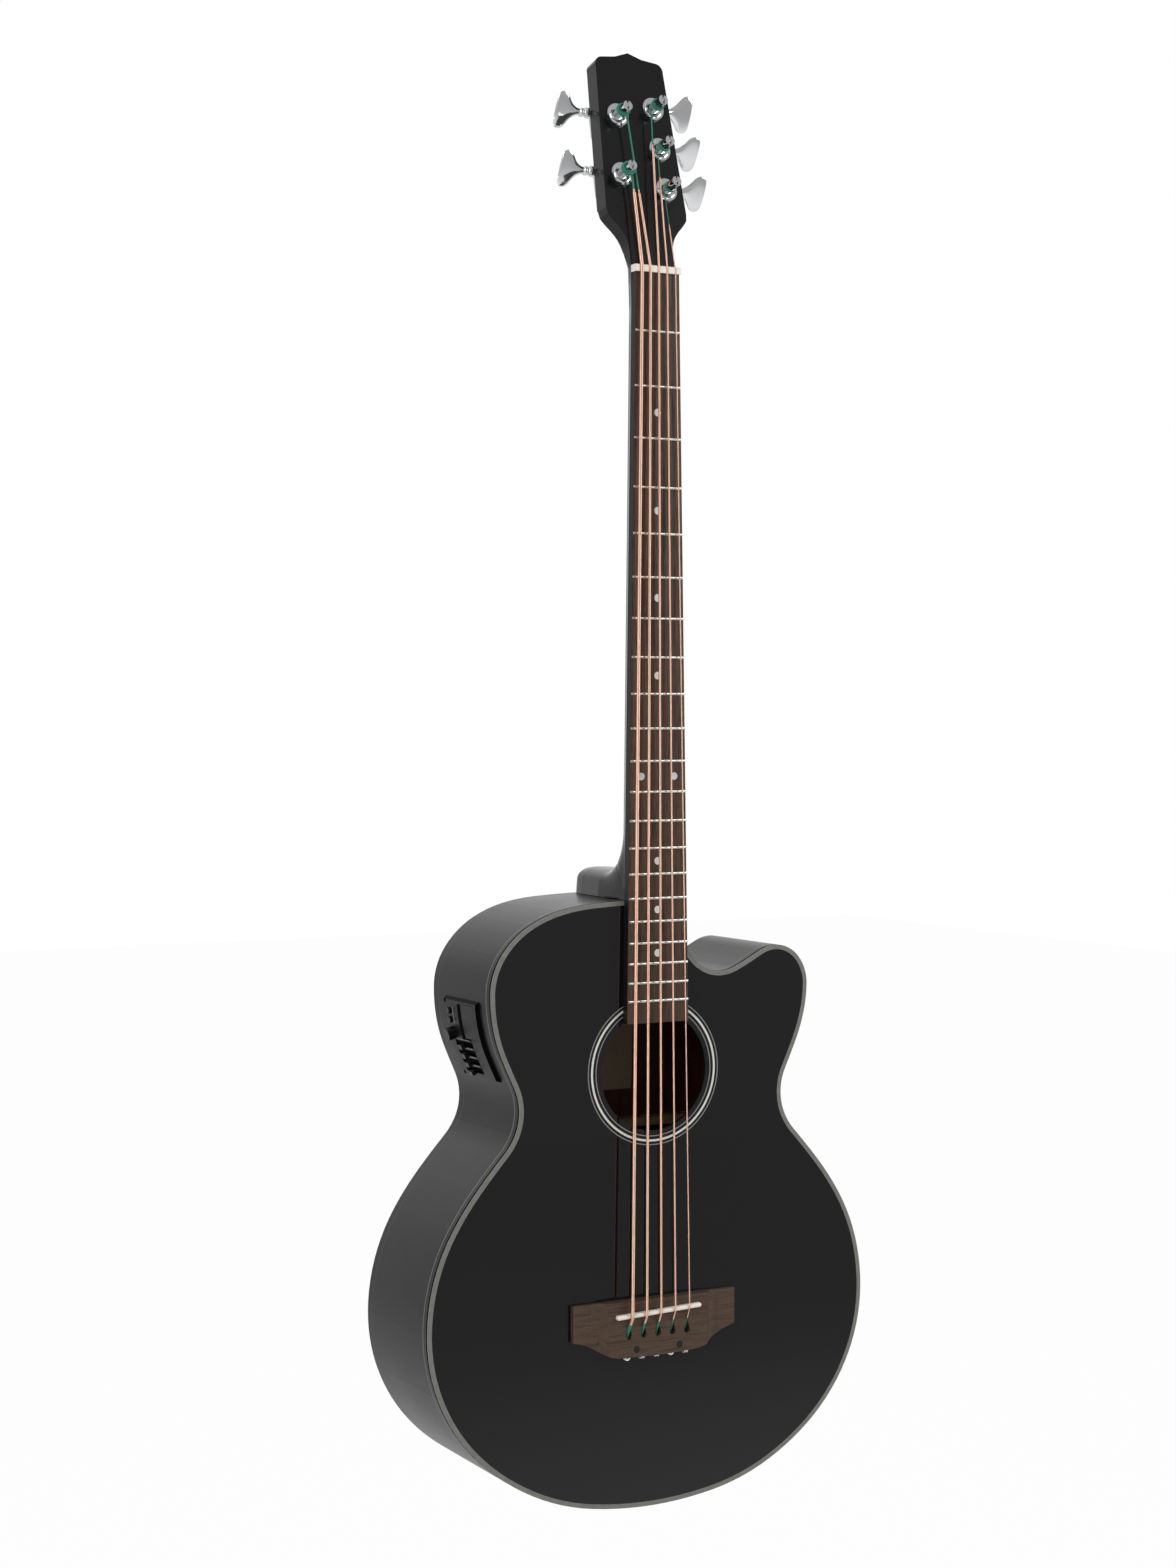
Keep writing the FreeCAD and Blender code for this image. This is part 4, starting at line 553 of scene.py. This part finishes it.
for number, string_radius in enumerate(STRING_RADII, 1):
    joint = joints["post_%d_turn" % number]
    side = 1.0 if joint["pos_m"][0] > 0.0 else -1.0
    silk_radius = string_radius * SILK_SHARE
    reach = POST_RADIUS + POST_CLEARANCE + silk_radius
    low = BUSHING_TALL + FIRST_TURN_RADII * silk_radius + BUSHING_CLEARANCE
    free_selection()
    bpy.ops.mesh.primitive_circle_add(
        vertices=SILK_SIDES, radius=silk_radius, location=(-side * reach, 0.0, low),
        rotation=(math.pi / 2.0, 0.0, 0.0))
    turns = bpy.context.object
    turns.name = "silk_turns_%d" % number
    place_mesh()
    screw = turns.modifiers.new("turns", "SCREW")
    screw.angle = -side * 2.0 * math.pi
    screw.screw_offset = 2.0 * silk_radius + WIND_GAP
    screw.iterations = TURNS
    screw.steps = TURN_STEPS
    screw.render_steps = TURN_STEPS
    bpy.ops.object.modifier_apply(modifier=screw.name)
    cap_ends(turns)
    lay_on_head(turns, Vector(joint["pos_m"]))
    bpy.ops.object.shade_smooth_by_angle(angle=SILK_SMOOTH)
    turns.data.materials.append(silk_thread.material)
    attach(turns, "post_%d" % number)
    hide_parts("string_winding_%d" % number)

# %% [markdown]
# A tuner key is cast and polished: a shaft with a collar swells into a flared finger
# piece with a soft ridge along its middle, so that each half mirrors another part of the
# room. It could be carved from a block, but it grows along its shaft. So a ring is extruded
# outwards along the shaft and resized at each stop, as a smith would draw the piece, and a
# Subdivision Surface rounds it.

# %% The stops of a tuner key
SHAFT_RADIUS = 0.003
COLLAR_RADIUS = 0.0046
COLLAR_LONG = 0.004
KEY_LONG = 0.0215
KEY_HALF_SPAN = 0.0162
# Stops along the collar: share of its length before the finger piece, share of its radius.
COLLAR_STOP_SHARES = [
    (0.900, 0.90),
    (0.775, 1.00),
    (0.550, 1.00),
    (0.475, 0.86),
    (0.400, 1.00),
    (0.175, 1.00),
    (0.075, 0.90),
]
# Stops along the finger piece: share of its length from the outer edge, half span over
# the widest half span, half thickness over the shaft's radius.
KEY_STOP_SHARES = [
    (1.00, 0.20, 1.00),
    (0.90, 0.22, 0.95),
    (0.78, 0.30, 0.85),
    (0.66, 0.43, 0.75),
    (0.56, 0.62, 0.70),
    (0.46, 0.86, 0.66),
    (0.36, 1.03, 0.64),
    (0.25, 1.09, 0.62),
    (0.13, 1.08, 0.62),
    (0.04, 1.00, 0.62),
    (-0.02, 0.82, 0.55),
    (-0.03, 0.60, 0.35),
]


def key_stops(length, long):
    """The stops of a whole key, from inside its housing to the outer edge."""
    root = length - long
    stops = [(root - COLLAR_LONG, SHAFT_RADIUS, SHAFT_RADIUS)]
    for place, share in COLLAR_STOP_SHARES:
        radius = share * COLLAR_RADIUS
        stops.append((root - place * COLLAR_LONG, radius, radius))
    for place, span, thick in KEY_STOP_SHARES:
        stops.append((length - place * long, span * KEY_HALF_SPAN, thick * SHAFT_RADIUS))
    return stops


def draw_ring(first, stops):
    """Extrudes the selected ring along +X; a stop is its place and two half sizes."""
    place, span, thick = first
    for new_place, new_span, new_thick in stops:
        step = {"value": (new_place - place, 0.0, 0.0)}
        bpy.ops.mesh.extrude_region_move(TRANSFORM_OT_translate=step)
        factors = (1.0, new_span / span, new_thick / thick)
        bpy.ops.transform.resize(value=factors, center_override=(new_place, 0.0, 0.0))
        place, span, thick = new_place, new_span, new_thick


print("stops of a key:", 1 + len(COLLAR_STOP_SHARES) + len(KEY_STOP_SHARES))

# %% [markdown]
# The five keys are the same casting, turned to where the player left them. In the
# photograph the three on the treble side reach a little further than their solids, and
# most of that goes into the finger piece. Each key is drawn lying along +X, is turned about
# its shaft, and is then laid on the headstock at the joint that turns it.

# %% Tuner keys
KEY_TURNS = [40.0, 40.0, 38.0, 47.6, 44.0]
TREBLE_EXTRA = 0.0060
FINGER_EXTRA_SHARE = 0.6
KEY_START = 0.0045
KEY_SIDES = 8
EDGE_INSET = 0.0012
EDGE_DIP = 0.0016
KEY_ROUNDING = 2
KEY_SMOOTH = math.radians(50.0)

for number, turn in enumerate(KEY_TURNS, 1):
    joint = joints["key_%d_turn" % number]
    low_corner, high_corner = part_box("tuner_key_%d" % number)
    shaft_x = joint["pos_m"][0]
    side = 1.0 if shaft_x > 0.0 else -1.0
    outer_x = high_corner[0] if side > 0.0 else -low_corner[0]
    extra = TREBLE_EXTRA if side > 0.0 else 0.0
    length = outer_x - abs(shaft_x) + extra
    free_selection()
    bpy.ops.mesh.primitive_circle_add(
        vertices=KEY_SIDES, radius=SHAFT_RADIUS, fill_type="NGON",
        location=(KEY_START, 0.0, 0.0), rotation=(0.0, math.pi / 2.0, 0.0))
    key = bpy.context.object
    key.name = "cast_key_%d" % number
    place_mesh()
    bpy.ops.object.mode_set(mode="EDIT")
    bpy.ops.mesh.select_all(action="SELECT")
    bpy.ops.transform.rotate(
        value=math.pi / KEY_SIDES, orient_axis="X", center_override=(0.0, 0.0, 0.0))
    stops = key_stops(length, KEY_LONG + extra * FINGER_EXTRA_SHARE)
    draw_ring((KEY_START, SHAFT_RADIUS, SHAFT_RADIUS), stops)
    bpy.ops.mesh.inset(thickness=EDGE_INSET)
    bpy.ops.transform.translate(value=(-EDGE_DIP, 0.0, 0.0))
    bpy.ops.mesh.select_all(action="SELECT")
    bpy.ops.mesh.normals_make_consistent(inside=False)
    bpy.ops.object.mode_set(mode="OBJECT")
    smooth = key.modifiers.new("rounding", "SUBSURF")
    smooth.levels = KEY_ROUNDING
    smooth.render_levels = KEY_ROUNDING
    bpy.ops.object.modifier_apply(modifier=smooth.name)
    facing = Matrix.Rotation(math.radians(turn), 4, "X")
    if side < 0.0:
        facing = facing @ Matrix.Rotation(math.pi, 4, "Z")
    key.data.transform(facing)
    lay_on_head(key, Vector(joint["pos_m"]))
    bpy.ops.object.shade_smooth_by_angle(angle=KEY_SMOOTH)
    key.data.materials.append(chrome.material)
    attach(key, "key_%d" % number)
    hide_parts("tuner_key_%d" % number)
    print(key.name, "reaches", round(length, 4), "from its post")

# %% [markdown]
# Inside, the back is a dark red veneer under thin lacquer, and the blocks, linings and
# braces are bare spruce. The grained wood from before serves for both, in other colours.
# The back is black outside and veneer inside, which the direction of its faces tells. The
# paper label is left blank; a cloud of two tones stands for its fibres.

# %% Inside the body
VENEER_LIGHT = (0.110, 0.028, 0.018, 1.0)
VENEER_DARK = (0.045, 0.012, 0.008, 1.0)
SPRUCE_LIGHT = (0.45, 0.30, 0.16, 1.0)
SPRUCE_DARK = (0.33, 0.21, 0.11, 1.0)
PAPER_DARK = (0.29, 0.215, 0.14, 1.0)
PAPER_LIGHT = (0.38, 0.29, 0.20, 1.0)
BACKWARDS = 0.5

veneer, veneer_colour = grained_wood(
    "back veneer", Z_AXIS, VENEER_LIGHT, VENEER_DARK, pore_depth=0.0)
outside = veneer.facing()[1] > BACKWARDS
veneer.set("Base Color", veneer.mix(outside, veneer_colour, grey(0.005)))
veneer.set("Roughness", 0.5 - outside * 0.42)
veneer.skin(WAVE_SCALE, SOFT_SKIN, detail=1.0)
dress(veneer, "back_plate")

spruce, spruce_colour = grained_wood("bare spruce", Z_AXIS, SPRUCE_LIGHT, SPRUCE_DARK)
spruce.set("Base Color", spruce_colour)
dress(spruce, "neck_block", "tail_block", "linings", "top_braces", "back_braces", "bridge_plate")

paper = Maker("label paper", Roughness=0.85)
vector, _ = paper.places()
fibres = paper.noise(vector, 500.0, detail=5.0)
paper.set("Base Color", paper.mix(fibres, PAPER_DARK, PAPER_LIGHT))
dress(paper, "paper_label")

# %% [markdown]
# The preamp and its controls are moulded in black plastic with a fine spark texture, which
# is a bump too small to see as bumps. The sloped front edge of the panel and the walls of
# its slots get painted shade: a near black matt shader with no sheen. They belong to the
# same solid, so the direction of the face lays that matt shader over them.

# %% Plastics
SPARK_SCALE = 2600.0
SPARK_HEIGHT = 0.00004
FORWARDS = -0.55
SLOT_WALL = 0.62
SLOT_WALL_SHADE_SHARE = 0.75


def plastic(name, colour, roughness):
    """Moulded plastic with a fine spark texture."""
    maker = Maker(name, Base_Color=colour, Roughness=roughness)
    maker.skin(SPARK_SCALE, SPARK_HEIGHT, detail=1.0)
    return maker


panel_plastic = plastic("panel plastic", grey(0.004), 0.36)
panel_plastic.set("IOR", 1.37)
_, ahead, across = panel_plastic.facing()
# Painted shade: faces turned to the front and the walls of the slots get a near black matt
# shader.
painted_shade_share = (ahead < FORWARDS).maths("MAXIMUM", (abs(across) > SLOT_WALL) * SLOT_WALL_SHADE_SHARE)
panel_plastic.cover(painted_shade_share, "ShaderNodeBsdfDiffuse", {"Color": grey(0.0025)})
dress(panel_plastic, "preamp_panel", "battery_drawer")

control_plastic = plastic("control plastic", grey(0.003), 0.22)
controls = ["volume_knob", "preamp_button_1", "preamp_button_2", "bridge_bolt_caps"]
for number in range(1, 5):
    controls.append("eq_slider_%d" % number)
dress(control_plastic, *controls)

matt_black = Maker("matt black", Base_Color=grey(0.0025), Roughness=0.9, IOR=1.1)
matt_black.skin(1500.0, SOFT_SKIN)
dress(matt_black, "preamp_housing", "preamp_screws")

battery_skin = plastic("battery skin", grey(0.05), 0.3)
dress(battery_skin, "battery")
pickup_strip = metal("pickup strip", (0.6, 0.45, 0.25, 1.0), 0.35)
dress(pickup_strip, "saddle_pickup")

# %% [markdown]
# A strip of painted shadow lies in the gap beside the battery door, a strip of painted
# shade round each slider's slot, and small light strips of painted highlight beside the
# controls. All of them follow the curved panel, which a flat strip would not. So each is
# cut from a copy of the panel itself: bisecting planes keep a strip, its outward faces
# stay, and a Solidify modifier lifts it off the surface.

# %% A strip of the panel
STRIP_THICK = 0.00015
MERGE_GAP = 0.00001
OUTWARDS = -0.5
SLOPE = 0.2


def panel_strip(name, material, z_range, depth_range):
    """A thin raised strip of the panel's outer face."""
    free_selection()
    source = nodes["preamp_panel"]
    source.select_set(True)
    bpy.context.view_layer.objects.active = source
    bpy.ops.object.duplicate()
    strip = bpy.context.object
    strip.name = name
    bpy.ops.object.mode_set(mode="EDIT")
    bpy.ops.mesh.select_all(action="SELECT")
    bpy.ops.mesh.remove_doubles(threshold=MERGE_GAP)
    cuts = [
        ((0.0, 0.0, z_range[0]), (0.0, 0.0, -1.0)),
        ((0.0, 0.0, z_range[1]), (0.0, 0.0, 1.0)),
        ((0.0, depth_range[0] - JACK_DEPTH, 0.0), (0.0, -1.0, 0.0)),
        ((0.0, depth_range[1] - JACK_DEPTH, 0.0), (0.0, 1.0, 0.0)),
    ]
    for place, away in cuts:
        bpy.ops.mesh.select_all(action="SELECT")
        bpy.ops.mesh.bisect(plane_co=place, plane_no=away, clear_outer=True)
    bpy.ops.mesh.select_all(action="DESELECT")
    bpy.ops.object.mode_set(mode="OBJECT")
    for face in strip.data.polygons:
        face.select = not (face.normal.x < OUTWARDS and abs(face.normal.y) < SLOPE)
    bpy.ops.object.mode_set(mode="EDIT")
    bpy.ops.mesh.select_mode(type="FACE")
    bpy.ops.mesh.delete(type="FACE")
    bpy.ops.object.mode_set(mode="OBJECT")
    shell = strip.modifiers.new("thickness", "SOLIDIFY")
    shell.thickness = STRIP_THICK
    shell.offset = 1.0
    bpy.ops.object.modifier_apply(modifier=shell.name)
    strip.data.materials.clear()
    strip.data.materials.append(material)
    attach(strip, "guitar")
    print(name, "faces:", len(strip.data.polygons))


# %% [markdown]
# The painted shadow of the door's gap is an L: a long part beside the door and a short
# foot under it. Its two arms are strips of their own, because a strip is cut by one box.
# The painted shade and highlights of the four sliders repeat with them, from the battery
# door down. Heights are along the body, and depths are behind the soundboard's front.

# %% Painted shadow, shade and highlights on the preamp
GAP_SHADOW_Z = (0.3966, 0.4268)
GAP_SHADOW_DEPTHS = (0.0532, 0.0590)
GAP_SHADOW_FOOT_Z = (0.3966, 0.3981)
GAP_SHADOW_FOOT_DEPTHS = (0.0430, 0.0531)
SLIDERS = 4
FIRST_SLIDER_Z = 0.3929
SLIDER_PITCH = 0.0073
SLOT_SHADE_HALF = 0.0024
SLOT_SHADE_DEPTHS = (0.0430, 0.0750)
HIGHLIGHT_UP = 0.0032
HIGHLIGHT_WIDE = 0.0009
HIGHLIGHT_DEPTHS = (0.0460, 0.0735)
BUTTON_HIGHLIGHT_Z = (0.4095, 0.4235)
BUTTON_HIGHLIGHT_DEPTHS = (0.0678, 0.0690)

# Light grey strips beside the sliders and the buttons are painted highlights.
highlight_paint = Maker("painted highlight", Base_Color=grey(0.22), Roughness=0.6)
highlight_paint.skin(1500.0, FINE_SKIN)
# The gap beside the battery door is a painted shadow: two matt black strips.
panel_strip("door_gap_shadow", matt_black.material, GAP_SHADOW_Z, GAP_SHADOW_DEPTHS)
panel_strip("door_gap_shadow_foot", matt_black.material, GAP_SHADOW_FOOT_Z, GAP_SHADOW_FOOT_DEPTHS)
for number in range(1, SLIDERS + 1):
    middle = FIRST_SLIDER_Z - (number - 1) * SLIDER_PITCH
    slot_shade_z = (middle - SLOT_SHADE_HALF, middle + SLOT_SHADE_HALF)
    # Round each slider's slot lies a matt black strip of painted shade.
    panel_strip("slider_slot_shade_%d" % number, matt_black.material, slot_shade_z, SLOT_SHADE_DEPTHS)
    highlight_z = (middle + HIGHLIGHT_UP, middle + HIGHLIGHT_UP + HIGHLIGHT_WIDE)
    panel_strip("slider_highlight_%d" % number, highlight_paint.material, highlight_z, HIGHLIGHT_DEPTHS)
panel_strip("button_highlight", highlight_paint.material, BUTTON_HIGHLIGHT_Z, BUTTON_HIGHLIGHT_DEPTHS)

# %% [markdown]
# The photograph was taken from the bass side, about two metres away and level with the
# tenth fret. A camera can be placed by eye, but here its place, turn and lens were solved
# from the frets, whose spacing is known.

# %% Camera
CAMERA_PLACE = (-1.0714, -1.9367, 0.6626)
CAMERA_DOWN = math.radians(1.417)
CAMERA_ROLL = math.radians(0.063)
CAMERA_RIGHT = math.radians(28.29)
LENS_MM = 59.09
SENSOR_MM = 36.0

bpy.ops.object.camera_add(location=CAMERA_PLACE)
camera = bpy.context.object
camera.rotation_euler = (math.pi / 2.0 - CAMERA_DOWN, CAMERA_ROLL, -CAMERA_RIGHT)
camera.data.lens = LENS_MM
camera.data.sensor_width = SENSOR_MM
camera.data.sensor_fit = "AUTO"
bpy.context.scene.camera = camera
print("camera:", CAMERA_PLACE, "lens:", LENS_MM)

# %% [markdown]
# A studio for a black gloss object is mostly white cards: the object shows what it
# mirrors. Cards could be modelled, but the world can be painted by direction. It is white
# to the camera, and in mirrors it is white behind the guitar and on its right, dim behind
# the camera, so that the top stays dark, and a little dim on the left at eye height, so
# that the curved sides catch a grey gradient. Plain surfaces get an even light from it.

# %% World
FRONT_FADE = (0.15, -0.55)
FRONT_DIM_SHARE = 0.60
LEFT_FADE = (0.1, 0.5)
HEIGHT_FADE = (0.2, 0.6)
LEFT_DIM_SHARE = 0.42
PLAIN_LEVEL = 0.55

world = bpy.data.worlds.new("white studio")
bpy.context.scene.world = world
world.use_nodes = True
background = world.node_tree.nodes["Background"]


class WorldMaker(Maker):
    """The same node helpers, on the world's tree."""

    def __init__(self, tree):
        self.tree = tree


studio = WorldMaker(world.node_tree)
right, back, up = studio.split(studio.node("ShaderNodeTexCoord").outputs["Generated"])
in_front = studio.between(back, *FRONT_FADE)
on_left = studio.between(right * -1.0, *LEFT_FADE)
level_height = 1.0 - studio.between(abs(up), *HEIGHT_FADE)
room = (1.0 - in_front * FRONT_DIM_SHARE) * (1.0 - on_left * level_height * LEFT_DIM_SHARE)
direct, mirrored = studio.rays()
level = mirrored * room + (1.0 - mirrored) * PLAIN_LEVEL
studio.feed(background.inputs["Strength"], level.maths("MAXIMUM", direct))
studio.feed(background.inputs["Color"], grey(1.0))
print("world:", world.name)

# %% [markdown]
# Two large soft lamps light the guitar from the front left and the front right. Small ones
# would draw hard spots on the lacquer. Each is placed first and is then aimed at the guitar
# by the two angles of the line to it.

# %% Lamps
# The lamps: name, place, point that it aims at, width and height, watts.
LAMPS = [
    ("left card", (-2.2, -1.2, 1.3), (0.0, 0.0, 0.5), (1.2, 1.8), 26.0),
    ("right card", (1.6, -1.6, 1.4), (0.0, 0.0, 0.6), (1.0, 1.6), 22.0),
]

for name, place, aim, size, watts in LAMPS:
    bpy.ops.object.light_add(type="AREA", location=place)
    lamp = bpy.context.object
    lamp.name = name
    lamp.data.shape = "RECTANGLE"
    lamp.data.size = size[0]
    lamp.data.size_y = size[1]
    lamp.data.energy = watts
    x, y, z = [a - b for a, b in zip(aim, place)]
    lamp.rotation_euler = (math.atan2(math.hypot(x, y), -z), 0.0, math.atan2(-x, y))
    print(name, watts, "W")

# %% [markdown]
# The floor lies well below the body, because the guitar hangs. A white floor would make the
# glossy top pale, so its own colour is darker in front, where the top mirrors it, and
# palest near the guitar. The camera sees it white by a glow that Light Path's camera mask
# lets in, and mirrors and glass see a part of the same glow.

# %% Floor
FLOOR_WIDE = 14.0
FLOOR_BACK = 3.0
FLOOR_Z = -0.42
NEAR_REACH = 0.4
FAR_REACH = 1.0
FRONT_START = 0.9
FRONT_END = 2.0
GLOW_SHARE = 0.97
MIRRORED_GLOW_SHARE = 0.25

free_selection()
bpy.ops.mesh.primitive_plane_add(size=FLOOR_WIDE, location=(0.0, FLOOR_BACK, FLOOR_Z))
floor = bpy.context.object
place_mesh()
floor.name = "studio_floor"
pale = Maker("pale floor", Roughness=0.9)
vector, (x, y, z) = pale.places()
reach = (x * x + y * y).maths("SQRT")
around = pale.mix(pale.between(reach, NEAR_REACH, FAR_REACH), grey(0.92), grey(0.80))
front = pale.between(y * -1.0, FRONT_START, FRONT_END)
pale.set("Base Color", pale.mix(front, around, grey(0.26)))
direct, mirrored = pale.rays()
glow = (direct * GLOW_SHARE).maths("MAXIMUM", mirrored * MIRRORED_GLOW_SHARE)
pale.cover(glow, "ShaderNodeEmission", {"Color": grey(1.0), "Strength": 1.0})
floor.data.materials.append(pale.material)
print(floor.name, "at z =", FLOOR_Z)

# %% [markdown]
# The colours are written as they should look, so the plain Standard view is used.

# %% Finish
bpy.context.scene.view_settings.view_transform = "Standard"
